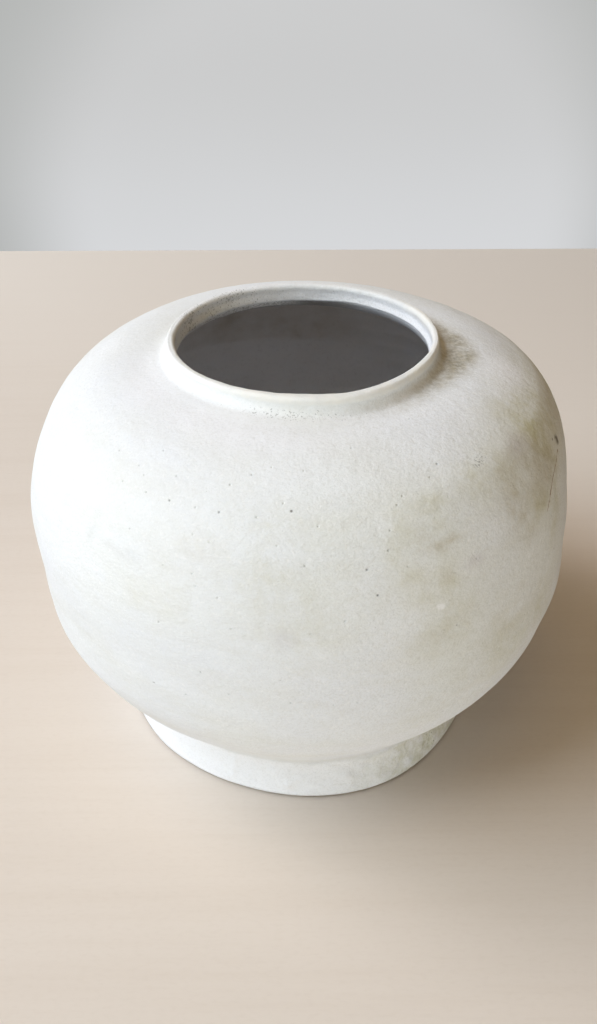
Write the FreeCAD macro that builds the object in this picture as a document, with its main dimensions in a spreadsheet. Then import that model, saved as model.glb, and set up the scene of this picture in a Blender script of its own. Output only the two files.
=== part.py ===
import FreeCAD, Part
import Sketcher
import math
import os

# Large white-slipped stoneware storage jar of the round "moon" shape.
# Millimetres. +Z is up and runs along the throwing axis. The origin is the
# centre of the foot's resting circle, so the jar stands on z = 0.
#
# A pot this size is too wide to be thrown in one go. Two bowls are thrown,
# one is turned over onto the other, and rim is luted to rim with slip at the
# waist. A foot ring is luted under the lower bowl and a collar is luted into
# the opening of the upper one. The jar is then coated with white slip
# outside and glazed inside, and the firing makes it one hard body.
#
# Every piece is a solid of revolution, drawn as a half section in the XZ
# plane (sketch x = radius, sketch y = height) and turned about Z.

doc = FreeCAD.newDocument("moon_jar")

# --------------------------------------------------------------------------
# Driving dimensions
# --------------------------------------------------------------------------

# The outer outline of the finished jar above its foot: a straight flank that
# runs into five tangent arcs. Each station is (radius, height, direction of
# travel in degrees, 90 being straight up); each arc is (radius, turn).
start = (107.25, 50.90, 54.92)
arcs = [("arc_lower", 71.46, 35.77), ("arc_girth", 689.0, 1.68), ("arc_side", 112.55, 22.69),
        ("arc_shoulder", 37.88, 31.87), ("arc_crown", 57.23, 32.47)]
names = ["low", "girth", "side", "shoulder", "crown", "brow"]

cells = []          # (alias, value, note)


def cell(alias, value, note=""):
    cells.append((alias, value, note))
    return value


def station(name, r, z, d):
    cell(name + "_r", round(r, 5), "outline station radius")
    cell(name + "_z", round(z, 5), "outline station height")
    cell(name + "_dir", round(d, 5), "outline direction there, degrees")


r, z, d = start
station(names[0], r, z, d)
for (arc, rad, turn), name in zip(arcs, names[1:]):
    a0, a1 = math.radians(d), math.radians(d + turn)
    r += rad * (math.sin(a1) - math.sin(a0))
    z += rad * (math.cos(a0) - math.cos(a1))
    d += turn
    cell(arc, rad, "outline arc radius")
    station(name, r, z, d)

# layers
cell("coat", 0.60, "white slip coat on the outside")
cell("wall", 5.60, "thrown clay wall")
cell("glaze", 0.50, "glaze on the inside")
cell("lute", 0.60, "slip in the joints")

# waist joint: a V groove round the lower rim takes a V ridge on the upper
cell("waist_z", 78.0, "height of the lower bowl's rim")
cell("vee_drop", 1.6, "depth of the groove")

# base and foot
cell("base_z", 14.0, "underside of the lower bowl inside the foot")
cell("floor_z", 20.6, "clay floor inside the jar")
cell("floor_cove", 40.0, "radius between the floor and the wall")
cell("foot_r", 89.60, "foot radius just above the floor, coat included")
cell("foot_edge_z", 1.20, "where the coat stops above the resting face")
cell("foot_lean", 10.62, "inward lean of the foot's side, degrees")
cell("foot_cove", 9.0, "cove between foot and flank")
cell("foot_fill", 10.64, "slip fillet behind that cove")
cell("foot_rest_out", 88.20, "outer edge of the resting face")
cell("foot_rest_in", 76.50, "inner edge of the resting face")
cell("foot_bevel_r", 75.30, "inner bevel of the foot ring")
cell("foot_bevel_z", 1.20, "height of that bevel")
cell("foot_in_r", 70.0, "inner radius of the foot ring at its joint")

# neck and lip
cell("mouth_r", 50.90, "inner radius of the finished mouth")
cell("neck_r", 55.50, "outer radius of the finished neck")
cell("lip_spring_z", 185.40, "height where the lip starts to round over")
cell("neck_cove", 4.20, "cove between shoulder and neck")
cell("edge_r", 51.50, "sharp inner edge of the neck, clay")
cell("edge_z", 181.00, "height of that edge, clay")
cell("edge_skin_z", 180.60, "height of that edge, coated")
cell("bevel_in_r", 56.60, "collar joint, inner end on the collar")
cell("bevel_seat_r", 57.50, "collar joint, inner end on the upper bowl")
cell("bevel_out", 0.90, "collar joint, width of slip at the outer end")

V = {a: v for a, v, n in cells}

sheet = doc.addObject("Spreadsheet::Sheet", "Dims")
sheet.Label = "Dims"
for i, (alias, value, note) in enumerate(cells, start=1):
    sheet.set("A%d" % i, alias)
    sheet.set("B%d" % i, repr(value))
    sheet.set("C%d" % i, note)
    sheet.setAlias("B%d" % i, alias)
doc.recompute()

# --------------------------------------------------------------------------
# Points. Each is (r, z, formula for r, formula for z); the numbers place the
# sketch, and the formulas, in terms of the sheet, bind it.
# --------------------------------------------------------------------------


def total(layers):
    return sum(V[k] for k in layers), " + ".join("Dims." + k for k in layers) or "0"


def at(name, *layers):
    """Outline station, moved inwards by the layers named."""
    t, te = total(layers)
    a = math.radians(V[name + "_dir"])
    return (V[name + "_r"] - t * math.sin(a), V[name + "_z"] + t * math.cos(a),
            "Dims.%s_r - (%s) * sin(Dims.%s_dir)" % (name, te, name),
            "Dims.%s_z + (%s) * cos(Dims.%s_dir)" % (name, te, name))


def num(value):
    return ("%.5f" % value)


def free(r, z, re=None, ze=None):
    return (r, z, re or num(r), ze or num(z))


def named(ra, za, dr="", dz=""):
    """Point read from two cells, each with an optional added cell."""
    def one(a, extra):
        v, e = V[a], "Dims." + a
        if extra:
            sign = -1 if extra[0] == "-" else 1
            v += sign * V[extra[1:]]
            e += " %s Dims.%s" % (extra[0], extra[1:])
        return v, e
    rv, re = one(ra, dr)
    zv, ze = one(za, dz)
    return (rv, zv, re, ze)


def on_lower_arc(height, height_expr, *layers):
    """Point at a height on the arc above the flank, moved inwards."""
    t, te = total(layers)
    a = math.radians(V["low_dir"])
    cr = V["low_r"] - V["arc_lower"] * math.sin(a)
    cz = V["low_z"] + V["arc_lower"] * math.cos(a)
    rr = cr + math.sqrt((V["arc_lower"] - t) ** 2 - (height - cz) ** 2)
    return (rr, height,
            "Dims.low_r - Dims.arc_lower * sin(Dims.low_dir) + sqrt((Dims.arc_lower - (%s))^2"
            " - (%s - Dims.low_z - Dims.arc_lower * cos(Dims.low_dir))^2)" % (te, height_expr),
            height_expr)


def on_flank(height, height_expr, *layers):
    """Point at a height on the straight flank below the arcs, moved inwards."""
    t, te = total(layers)
    p = at("low", *layers)
    k = math.tan(math.radians(V["low_dir"]))
    return (p[0] - (p[1] - height) / k, height,
            "(%s) - ((%s) - (%s)) / tan(Dims.low_dir)" % (p[2], p[3], height_expr), height_expr)


def mid(p, q, drop, drop_expr):
    return ((p[0] + q[0]) / 2, (p[1] + q[1]) / 2 - drop,
            "((%s) + (%s)) / 2" % (p[2], q[2]), "((%s) + (%s)) / 2 - (%s)" % (p[3], q[3], drop_expr))


def off_radius(cellname, *layers, grow=False):
    t, te = total(layers)
    return (V[cellname] + t if grow else V[cellname] - t,
            "Dims.%s %s (%s)" % (cellname, "+" if grow else "-", te))


AXIS_R = "0"

# the foot's leaning side meets the flank in a cove
lean = math.radians(90 + V["foot_lean"])
flank = math.radians(V["low_dir"])


def foot_side(z, t=0.0):
    """Radius of the foot's side at a height, t inside the coat."""
    return V["foot_r"] - t / math.cos(math.radians(V["foot_lean"])) - (z - V["foot_edge_z"]) * math.tan(math.radians(V["foot_lean"]))


def foot_flank_corner():
    k = 1 / math.tan(flank)
    s = math.tan(math.radians(V["foot_lean"]))
    # foot_r - (z - e) s = low_r - (low_z - z) k
    zc = (V["foot_r"] + V["foot_edge_z"] * s - V["low_r"] + V["low_z"] * k) / (k + s)
    return V["low_r"] - (V["low_z"] - zc) * k, zc


cr_, cz_ = foot_flank_corner()
tl = V["foot_cove"] * math.tan((lean - flank) / 2)
F0 = free(V["foot_r"], V["foot_edge_z"], "Dims.foot_r", "Dims.foot_edge_z")
F1 = free(cr_ - tl * math.cos(lean), cz_ - tl * math.sin(lean))
F2 = free(cr_ + tl * math.cos(flank), cz_ + tl * math.sin(flank))
c = V["coat"]
F0c = free(V["foot_r"] - c * math.cos(math.radians(V["foot_lean"])), V["foot_edge_z"] - c * math.sin(math.radians(V["foot_lean"])),
           "Dims.foot_r - Dims.coat * cos(Dims.foot_lean)", "Dims.foot_edge_z - Dims.coat * sin(Dims.foot_lean)")
F1c = free(F1[0] - c * math.sin(lean), F1[1] + c * math.cos(lean))
# the slip fillet starts tangent to the foot's side and ends on the flank
Gz = 22.55
G = on_flank(Gz, num(Gz), "coat")
B0 = on_flank(V["base_z"], "Dims.base_z", "coat")
ring_top = V["base_z"] - V["lute"]
ring_top_e = "Dims.base_z - Dims.lute"
FT = free(F1c[0] + (F1c[1] - ring_top) * math.tan(math.radians(V["foot_lean"])), ring_top, None, ring_top_e)

# floor and wall inside
low_in = at("low", "coat", "wall")
kf = math.tan(flank)
corner_r = low_in[0] - (low_in[1] - V["floor_z"]) / kf
tf = V["floor_cove"] * math.tan(flank / 2)
I1 = free(corner_r + tf * math.cos(flank), V["floor_z"] + tf * math.sin(flank))
I2 = free(corner_r - tf, V["floor_z"], None, "Dims.floor_z")
cove_in = V["floor_cove"] - V["glaze"]
corner_g = (low_in[0] - V["glaze"] * math.sin(flank)) - (low_in[1] + V["glaze"] * math.cos(flank) - V["floor_z"] - V["glaze"]) / kf
tg = cove_in * math.tan(flank / 2)
I1g = free(corner_g + tg * math.cos(flank), V["floor_z"] + V["glaze"] + tg * math.sin(flank))
I2g = free(corner_g - tg, V["floor_z"] + V["glaze"], None, "Dims.floor_z + Dims.glaze")

# waist joint
wz, wze = V["waist_z"], "Dims.waist_z"
uz, uze = V["waist_z"] + V["lute"], "Dims.waist_z + Dims.lute"
WLo = on_lower_arc(wz, wze, "coat")
WLi = on_lower_arc(wz, wze, "coat", "wall")
WUo = on_lower_arc(uz, uze, "coat")
WUi = on_lower_arc(uz, uze, "coat", "wall")
WLm = mid(WLo, WLi, V["vee_drop"], "Dims.vee_drop")
WUm = mid(WUo, WUi, V["vee_drop"], "Dims.vee_drop")

# neck
brow = math.radians(V["brow_dir"])
NC_r = V["neck_r"] + V["neck_cove"]
brow_line = V["brow_z"] + (NC_r - V["neck_cove"] * math.sin(brow) - V["brow_r"]) * math.tan(brow)
K0 = free(NC_r - V["neck_cove"] * math.sin(brow), brow_line)
NC_z = K0[1] - V["neck_cove"] * math.cos(brow)
K1 = free(V["neck_r"], NC_z, "Dims.neck_r")
K0c = free(NC_r - (V["neck_cove"] + c) * math.sin(brow), NC_z + (V["neck_cove"] + c) * math.cos(brow))
K1c = free(V["neck_r"] - c, NC_z, "Dims.neck_r - Dims.coat")
lip_r = (V["neck_r"] - V["mouth_r"]) / 2
lip_e = "(Dims.neck_r - Dims.mouth_r) / 2"
lip_m = (V["neck_r"] + V["mouth_r"]) / 2
lip_me = "(Dims.neck_r + Dims.mouth_r) / 2"
L0 = named("neck_r", "lip_spring_z")
LT = free(lip_m, V["lip_spring_z"] + lip_r, lip_me, "Dims.lip_spring_z + " + lip_e)
L1 = named("mouth_r", "lip_spring_z")
L0c = named("neck_r", "lip_spring_z", "-coat")
LTc = free(lip_m, V["lip_spring_z"] + lip_r - c, lip_me, "Dims.lip_spring_z + " + lip_e + " - Dims.coat")
L1c = named("mouth_r", "lip_spring_z", "+coat")
E = named("edge_r", "edge_z")
C1 = named("mouth_r", "edge_skin_z")

# cove under the shoulder, from the brow's inner side up to the neck's edge
brow_in = at("brow", "coat", "wall")
brow_g = at("brow", "coat", "wall", "glaze")


def tangent_arc_radius(p, q, heading):
    """Radius of the arc that leaves p along the heading and turns clockwise to q."""
    chord = math.hypot(q[0] - p[0], q[1] - p[1])
    half = heading - math.atan2(q[1] - p[1], q[0] - p[0])
    return chord / (2 * math.sin(half))


ER = tangent_arc_radius(brow_in, E, brow)
GR = tangent_arc_radius(brow_g, C1, brow)
ec_r = brow_in[0] + ER * math.sin(brow)
ec_z = brow_in[1] - ER * math.cos(brow)


def on_neck_cove(alias):
    rr = V[alias]
    return free(rr, ec_z - math.sqrt(ER ** 2 - (rr - ec_r) ** 2), "Dims." + alias)


BI = on_neck_cove("bevel_in_r")
BS = on_neck_cove("bevel_seat_r")
brow_c = at("brow", "coat")
BO = free(brow_c[0] - V["bevel_out"], brow_c[1] + V["bevel_out"] * -math.tan(brow),
          "(%s) - Dims.bevel_out" % brow_c[2], "(%s) - Dims.bevel_out * tan(Dims.brow_dir)" % brow_c[3])

# --------------------------------------------------------------------------
# Bodies
# --------------------------------------------------------------------------


def origin_plane(body, role):
    for f in body.Origin.OriginFeatures:
        if f.Role == role:
            return f
    raise RuntimeError("no plane " + role)


def arc_geometry(p, q, radius, turn):
    """Arc from p to q; turn +1 runs anticlockwise, -1 clockwise. Under half a circle."""
    dx, dz = q[0] - p[0], q[1] - p[1]
    chord = math.hypot(dx, dz)
    h = math.sqrt(max(radius ** 2 - (chord / 2) ** 2, 0.0))
    nx, nz = -dz / chord, dx / chord            # left of travel
    cx = (p[0] + q[0]) / 2 + turn * nx * h
    cz = (p[1] + q[1]) / 2 + turn * nz * h
    a, b = (p, q) if turn > 0 else (q, p)
    a0 = math.atan2(a[1] - cz, a[0] - cx)
    a1 = math.atan2(b[1] - cz, b[0] - cx)
    if a1 < a0:
        a1 += 2 * math.pi
    circle = Part.Circle(FreeCAD.Vector(cx, cz, 0), FreeCAD.Vector(0, 0, 1), radius)
    return Part.ArcOfCircle(circle, a0, a1)


def ring(label, outline):
    """Body made by turning a closed half section about Z.

    outline is a list of (point, side): side says how the section goes from
    this point to the next, None for a straight line or
    (radius, formula, turn) for an arc."""
    body = doc.addObject("PartDesign::Body", label)
    body.Label = label
    sk = body.newObject("Sketcher::SketchObject", label + "_section")
    sk.AttachmentSupport = [(origin_plane(body, "XZ_Plane"), "")]
    sk.MapMode = "FlatFace"
    n = len(outline)
    ends = []
    for i, (p, side) in enumerate(outline):
        q = outline[(i + 1) % n][0]
        if side is None:
            g = Part.LineSegment(FreeCAD.Vector(p[0], p[1], 0), FreeCAD.Vector(q[0], q[1], 0))
            ends.append((sk.addGeometry(g, False), 1, 2))
        else:
            g = arc_geometry(p, q, side[0], side[2])
            k = sk.addGeometry(g, False)
            ends.append((k, 1, 2) if side[2] > 0 else (k, 2, 1))
    for i in range(n):
        a, b = ends[i], ends[(i + 1) % n]
        sk.addConstraint(Sketcher.Constraint("Coincident", a[0], a[2], b[0], b[1]))
    for i, (p, side) in enumerate(outline):
        g, first, last = ends[i]
        if p[0] == 0.0:
            sk.addConstraint(Sketcher.Constraint("PointOnObject", g, first, -2))
        else:
            c1 = sk.addConstraint(Sketcher.Constraint("DistanceX", -1, 1, g, first, p[0]))
            sk.setExpression("Constraints[%d]" % c1, p[2])
        if p[1] == 0.0:
            sk.addConstraint(Sketcher.Constraint("PointOnObject", g, first, -1))
        else:
            c2 = sk.addConstraint(Sketcher.Constraint("DistanceY", -1, 1, g, first, p[1]))
            sk.setExpression("Constraints[%d]" % c2, p[3])
        if side is not None:
            c3 = sk.addConstraint(Sketcher.Constraint("Radius", g, side[0]))
            sk.setExpression("Constraints[%d]" % c3, side[1])
    doc.recompute()
    rev = body.newObject("PartDesign::Revolution", label + "_turned")
    rev.Profile = sk
    rev.ReferenceAxis = (sk, ["V_Axis"])
    rev.Angle = 360.0
    sk.Visibility = False
    doc.recompute()
    body.Tip = rev
    body.Placement = FreeCAD.Placement(FreeCAD.Vector(0, 0, 0), FreeCAD.Rotation())
    return body


def arc(cellname, turn, *layers, grow=False):
    v, e = off_radius(cellname, *layers, grow=grow)
    return (v, e, turn)


def plain(value, turn):
    return (value, num(value), turn)


UP, DOWN = 1, -1

# thrown lower half: flat base, flaring wall, V-grooved rim
lower_bowl = ring("lower_bowl", [
    (free(0.0, V["base_z"], "0", "Dims.base_z"), None),
    (B0, None),
    (at("low", "coat"), arc("arc_lower", UP, "coat")),
    (WLo, None),
    (WLm, None),
    (WLi, arc("arc_lower", DOWN, "coat", "wall")),
    (low_in, None),
    (I1, plain(V["floor_cove"], DOWN)),
    (I2, None),
    (free(0.0, V["floor_z"], "0", "Dims.floor_z"), None),
])

# thrown upper half, turned over: V-ridged rim below, bevelled opening above
upper_bowl = ring("upper_bowl", [
    (WUo, arc("arc_lower", UP, "coat")),
    (at("girth", "coat"), arc("arc_girth", UP, "coat")),
    (at("side", "coat"), arc("arc_side", UP, "coat")),
    (at("shoulder", "coat"), arc("arc_shoulder", UP, "coat")),
    (at("crown", "coat"), arc("arc_crown", UP, "coat")),
    (brow_c, None),
    (BS, plain(ER, UP)),
    (brow_in, arc("arc_crown", DOWN, "coat", "wall")),
    (at("crown", "coat", "wall"), arc("arc_shoulder", DOWN, "coat", "wall")),
    (at("shoulder", "coat", "wall"), arc("arc_side", DOWN, "coat", "wall")),
    (at("side", "coat", "wall"), arc("arc_girth", DOWN, "coat", "wall")),
    (at("girth", "coat", "wall"), arc("arc_lower", DOWN, "coat", "wall")),
    (WUi, None),
    (WUm, None),
])

# slip that fills the waist joint between the two rims
waist_luting_slip = ring("waist_luting_slip", [
    (WLo, arc("arc_lower", UP, "coat")),
    (WUo, None),
    (WUm, None),
    (WUi, arc("arc_lower", DOWN, "coat", "wall")),
    (WLi, None),
    (WLm, None),
])

# collar with the rounded lip, seated on the bevel of the upper bowl
neck_collar = ring("neck_collar", [
    (E, plain(ER, UP)),
    (BI, None),
    (BO, None),
    (K0c, arc("neck_cove", DOWN, "coat", grow=True)),
    (K1c, None),
    (L0c, (lip_r - c, lip_e + " - Dims.coat", UP)),
    (LTc, (lip_r - c, lip_e + " - Dims.coat", UP)),
    (L1c, None),
])

neck_luting_slip = ring("neck_luting_slip", [
    (BI, plain(ER, UP)),
    (BS, None),
    (brow_c, None),
    (BO, None),
])

# foot ring: resting face, bevelled edges, flat top against the base
foot_ring = ring("foot_ring", [
    (free(V["foot_rest_in"], 0.0, "Dims.foot_rest_in", "0"), None),
    (free(V["foot_rest_out"], 0.0, "Dims.foot_rest_out", "0"), None),
    (F0c, None),
    (FT, None),
    (free(V["foot_in_r"], ring_top, "Dims.foot_in_r", ring_top_e), None),
    (named("foot_bevel_r", "foot_bevel_z"), None),
])

# slip under the base and in the corner outside the foot
foot_luting_slip = ring("foot_luting_slip", [
    (free(V["foot_in_r"], ring_top, "Dims.foot_in_r", ring_top_e), None),
    (FT, None),
    (F1c, (V["foot_fill"], "Dims.foot_fill", DOWN)),
    (G, None),
    (B0, None),
    (named("foot_in_r", "base_z"), None),
])

# white slip outside, over the lip and down the inside of the neck; it stops
# a little above the resting face
outer_slip_coat = ring("outer_slip_coat", [
    (F0, None),
    (F1, arc("foot_cove", DOWN)),
    (F2, None),
    (at("low"), arc("arc_lower", UP)),
    (at("girth"), arc("arc_girth", UP)),
    (at("side"), arc("arc_side", UP)),
    (at("shoulder"), arc("arc_shoulder", UP)),
    (at("crown"), arc("arc_crown", UP)),
    (at("brow"), None),
    (K0, arc("neck_cove", DOWN)),
    (K1, None),
    (L0, (lip_r, lip_e, UP)),
    (LT, (lip_r, lip_e, UP)),
    (L1, None),
    (C1, None),
    (E, None),
    (L1c, (lip_r - c, lip_e + " - Dims.coat", DOWN)),
    (LTc, (lip_r - c, lip_e + " - Dims.coat", DOWN)),
    (L0c, None),
    (K1c, arc("neck_cove", UP, "coat", grow=True)),
    (K0c, None),
    (brow_c, arc("arc_crown", DOWN, "coat")),
    (at("crown", "coat"), arc("arc_shoulder", DOWN, "coat")),
    (at("shoulder", "coat"), arc("arc_side", DOWN, "coat")),
    (at("side", "coat"), arc("arc_girth", DOWN, "coat")),
    (at("girth", "coat"), arc("arc_lower", DOWN, "coat")),
    (at("low", "coat"), None),
    (G, (V["foot_fill"], "Dims.foot_fill", UP)),
    (F1c, None),
    (F0c, None),
])

# glaze over the whole inside, from the neck's edge down to the floor
inner_glaze_coat = ring("inner_glaze_coat", [
    (free(0.0, V["floor_z"], "0", "Dims.floor_z"), None),
    (I2, plain(V["floor_cove"], UP)),
    (I1, None),
    (low_in, arc("arc_lower", UP, "coat", "wall")),
    (at("girth", "coat", "wall"), arc("arc_girth", UP, "coat", "wall")),
    (at("side", "coat", "wall"), arc("arc_side", UP, "coat", "wall")),
    (at("shoulder", "coat", "wall"), arc("arc_shoulder", UP, "coat", "wall")),
    (at("crown", "coat", "wall"), arc("arc_crown", UP, "coat", "wall")),
    (brow_in, plain(ER, DOWN)),
    (E, None),
    (C1, plain(GR, UP)),
    (brow_g, arc("arc_crown", DOWN, "coat", "wall", "glaze")),
    (at("crown", "coat", "wall", "glaze"), arc("arc_shoulder", DOWN, "coat", "wall", "glaze")),
    (at("shoulder", "coat", "wall", "glaze"), arc("arc_side", DOWN, "coat", "wall", "glaze")),
    (at("side", "coat", "wall", "glaze"), arc("arc_girth", DOWN, "coat", "wall", "glaze")),
    (at("girth", "coat", "wall", "glaze"), arc("arc_lower", DOWN, "coat", "wall", "glaze")),
    (at("low", "coat", "wall", "glaze"), None),
    (I1g, plain(cove_in, DOWN)),
    (I2g, None),
    (free(0.0, V["floor_z"] + V["glaze"], "0", "Dims.floor_z + Dims.glaze"), None),
])

# --------------------------------------------------------------------------
# Test, then write each piece
# --------------------------------------------------------------------------

pieces = [lower_bowl, upper_bowl, waist_luting_slip, neck_collar, neck_luting_slip,
          foot_ring, foot_luting_slip, outer_slip_coat, inner_glaze_coat]

doc.recompute()
for obj in doc.Objects:
    if "Invalid" in obj.State or "Error" in obj.State:
        raise RuntimeError("%s is %s" % (obj.Name, obj.State))
for obj in doc.Objects:
    if obj.TypeId == "Sketcher::SketchObject":
        left = obj.solve()
        print(obj.Name, "solve", left, "closed", obj.Shape.isClosed() if hasattr(obj.Shape, "isClosed") else "?")
for p in pieces:
    s = p.Shape
    if s.isNull() or not s.isValid() or len(s.Solids) != 1:
        raise RuntimeError("%s has no single valid solid" % p.Label)

os.makedirs("parts", exist_ok=True)
for p in pieces:
    s = p.Shape.Solids[0]
    b = s.BoundBox
    print("%-20s volume %10.1f mm3  z %7.3f..%7.3f  r max %7.3f" % (p.Label, s.Volume, b.ZMin, b.ZMax, b.XMax))
    p.Shape.exportStep("parts/%s.step" % p.Label)
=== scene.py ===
import math

import bpy
import numpy as np
from mathutils import Matrix, Vector


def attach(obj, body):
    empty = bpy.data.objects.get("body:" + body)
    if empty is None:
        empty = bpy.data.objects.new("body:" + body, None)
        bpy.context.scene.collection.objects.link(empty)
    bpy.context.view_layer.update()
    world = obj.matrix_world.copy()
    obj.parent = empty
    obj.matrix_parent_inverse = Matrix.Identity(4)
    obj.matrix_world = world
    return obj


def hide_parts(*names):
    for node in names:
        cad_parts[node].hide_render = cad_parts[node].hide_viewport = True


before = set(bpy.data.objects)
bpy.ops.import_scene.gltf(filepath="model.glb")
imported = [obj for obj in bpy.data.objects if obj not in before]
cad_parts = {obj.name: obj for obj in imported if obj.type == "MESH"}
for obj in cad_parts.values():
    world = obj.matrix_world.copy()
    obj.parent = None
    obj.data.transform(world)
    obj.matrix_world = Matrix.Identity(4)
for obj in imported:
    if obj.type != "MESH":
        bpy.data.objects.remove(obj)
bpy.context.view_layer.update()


# ---------------------------------------------------------------------------
# Camera first: a hand-held view from above the front, 36.7 degrees down.
# The picture is 597 x 1024, so the focal length is 850 picture points.
# ---------------------------------------------------------------------------
cam_data = bpy.data.cameras.new("camera")
cam_data.sensor_fit = "AUTO"
cam_data.sensor_width = 36.0
cam_data.lens = 850.26 / 1024.0 * 36.0
cam_data.clip_start = 0.01
cam_data.clip_end = 20.0
cam = bpy.data.objects.new("camera", cam_data)
bpy.context.scene.collection.objects.link(cam)
cam.matrix_world = (Matrix.Translation((-0.001256, -0.32511, 0.33868))
                    @ Matrix.Rotation(math.pi / 2 - 0.640821, 4, "X")
                    @ Matrix.Rotation(-0.004291, 4, "Z"))
bpy.context.scene.camera = cam

# ---------------------------------------------------------------------------
# Seeded noise, in numpy
# ---------------------------------------------------------------------------


def _hash(ix, iy, iz, seed):
    h = (ix.astype(np.int64) * 374761393 + iy.astype(np.int64) * 668265263
         + iz.astype(np.int64) * 1440662683 + seed * 974711) & 0xffffffff
    h = ((h ^ (h >> 13)) * 1274126177) & 0xffffffff
    h = ((h ^ (h >> 16)) * 2246822519) & 0xffffffff
    h = h ^ (h >> 15)
    return (h & 0xffffff) / float(0xffffff)


def noise(p, scale, seed=0):
    """Smooth value noise of points p (N, 3), -1 to 1, one cell = scale."""
    q = p / scale
    i = np.floor(q).astype(np.int64)
    f = q - i
    f = f * f * f * (f * (f * 6 - 15) + 10)
    out = np.zeros(len(p))
    for dx in (0, 1):
        wx = f[:, 0] if dx else 1 - f[:, 0]
        for dy in (0, 1):
            wy = f[:, 1] if dy else 1 - f[:, 1]
            for dz in (0, 1):
                wz = f[:, 2] if dz else 1 - f[:, 2]
                out += wx * wy * wz * _hash(i[:, 0] + dx, i[:, 1] + dy, i[:, 2] + dz, seed)
    return out * 2 - 1


def fbm(p, scale, octaves=4, seed=0, gain=0.5):
    out = np.zeros(len(p))
    a, t = 1.0, 0.0
    for k in range(octaves):
        # each octave is turned and shifted, so the lattices never line up
        c, s = math.cos(1.1 * k + 0.4), math.sin(1.1 * k + 0.4)
        q = np.stack([p[:, 0] * c - p[:, 1] * s, p[:, 0] * s + p[:, 1] * c, p[:, 2] + 0.31 * p[:, 0]], -1)
        out += a * noise(q + 17.3 * k, scale, seed + 31 * k)
        t += a
        a *= gain
        scale *= 0.5
    return out / t


def sstep(a, b, x):
    t = np.clip((x - a) / (b - a), 0, 1)
    return t * t * (3 - 2 * t)


def angdiff(a, b):
    """Smallest difference of two angles, degrees."""
    return (a - b + 180.0) % 360.0 - 180.0


def smooth_table(x, xs, ys):
    """Cubic (Catmull-Rom) interpolation through a short table."""
    xs, ys = np.asarray(xs, float), np.asarray(ys, float)
    m = np.gradient(ys, xs)
    i = np.clip(np.searchsorted(xs, x) - 1, 0, len(xs) - 2)
    h = xs[i + 1] - xs[i]
    t = np.clip((x - xs[i]) / h, 0, 1)
    return ((2 * t**3 - 3 * t**2 + 1) * ys[i] + (t**3 - 2 * t**2 + t) * h * m[i]
            + (-2 * t**3 + 3 * t**2) * ys[i + 1] + (t**3 - t**2) * h * m[i + 1])


# ---------------------------------------------------------------------------
# The half section, in millimetres: the same stations, arcs and layers as the
# CAD model's
# ---------------------------------------------------------------------------
COAT, WALL, GLAZE, LUTE = 0.60, 5.60, 0.50, 0.60
NAMES = ["low", "girth", "side", "shoulder", "crown", "brow"]
ARC = {"low": 71.46, "girth": 689.0, "side": 112.55, "shoulder": 37.88, "crown": 57.23}
TURN = {"low": 35.77, "girth": 1.68, "side": 22.69, "shoulder": 31.87, "crown": 32.47}
ST = {}
_r, _z, _d = 107.25, 50.90, 54.92
for _k, _n in enumerate(NAMES):
    ST[_n] = (_r, _z, math.radians(_d))
    if _n in ARC:
        a0, a1 = math.radians(_d), math.radians(_d + TURN[_n])
        _r += ARC[_n] * (math.sin(a1) - math.sin(a0))
        _z += ARC[_n] * (math.cos(a0) - math.cos(a1))
        _d += TURN[_n]
WAIST, VEE, BASE, FLOOR, FCOVE = 78.0, 1.6, 14.0, 20.6, 40.0
FOOT_R, FOOT_E, LEAN, FOOT_COVE, FOOT_FILL = 89.60, 1.20, math.radians(10.62), 9.0, 10.64
REST_OUT, REST_IN, BEV_R, BEV_Z, FOOT_IN = 88.20, 76.50, 75.30, 1.20, 70.0
MOUTH, NECK, SPRING, NCOVE = 50.90, 55.50, 185.40, 4.20
EDGE, EDGE_Z, SKIN_Z, BIN, BSEAT, BOUT = 51.50, 181.00, 180.60, 56.60, 57.50, 0.90


def at(name, t=0.0):
    r, z, d = ST[name]
    return (r - t * math.sin(d), z + t * math.cos(d))


def on_lower_arc(height, t):
    r, z, d = ST["low"]
    cr, cz = r - ARC["low"] * math.sin(d), z + ARC["low"] * math.cos(d)
    return (cr + math.sqrt((ARC["low"] - t) ** 2 - (height - cz) ** 2), height)


def on_flank(height, t):
    p = at("low", t)
    return (p[0] - (p[1] - height) / math.tan(ST["low"][2]), height)


def mid(p, q, drop):
    return ((p[0] + q[0]) / 2, (p[1] + q[1]) / 2 - drop)


flank = ST["low"][2]
lean = math.pi / 2 + LEAN
_k, _s = 1 / math.tan(flank), math.tan(LEAN)
CZ = (FOOT_R + FOOT_E * _s - ST["low"][0] + ST["low"][1] * _k) / (_k + _s)
CR = ST["low"][0] - (ST["low"][1] - CZ) * _k
_t = FOOT_COVE * math.tan((lean - flank) / 2)
F0 = (FOOT_R, FOOT_E)
F1 = (CR - _t * math.cos(lean), CZ - _t * math.sin(lean))
F2 = (CR + _t * math.cos(flank), CZ + _t * math.sin(flank))
F0c = (FOOT_R - COAT * math.cos(LEAN), FOOT_E - COAT * math.sin(LEAN))
F1c = (F1[0] - COAT * math.sin(lean), F1[1] + COAT * math.cos(lean))
G = on_flank(22.55, COAT)
B0 = on_flank(BASE, COAT)
TOP = BASE - LUTE
FT = (F1c[0] + (F1c[1] - TOP) * math.tan(LEAN), TOP)
low_in = at("low", COAT + WALL)
_c = low_in[0] - (low_in[1] - FLOOR) / math.tan(flank)
_t = FCOVE * math.tan(flank / 2)
I1 = (_c + _t * math.cos(flank), FLOOR + _t * math.sin(flank))
I2 = (_c - _t, FLOOR)
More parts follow.
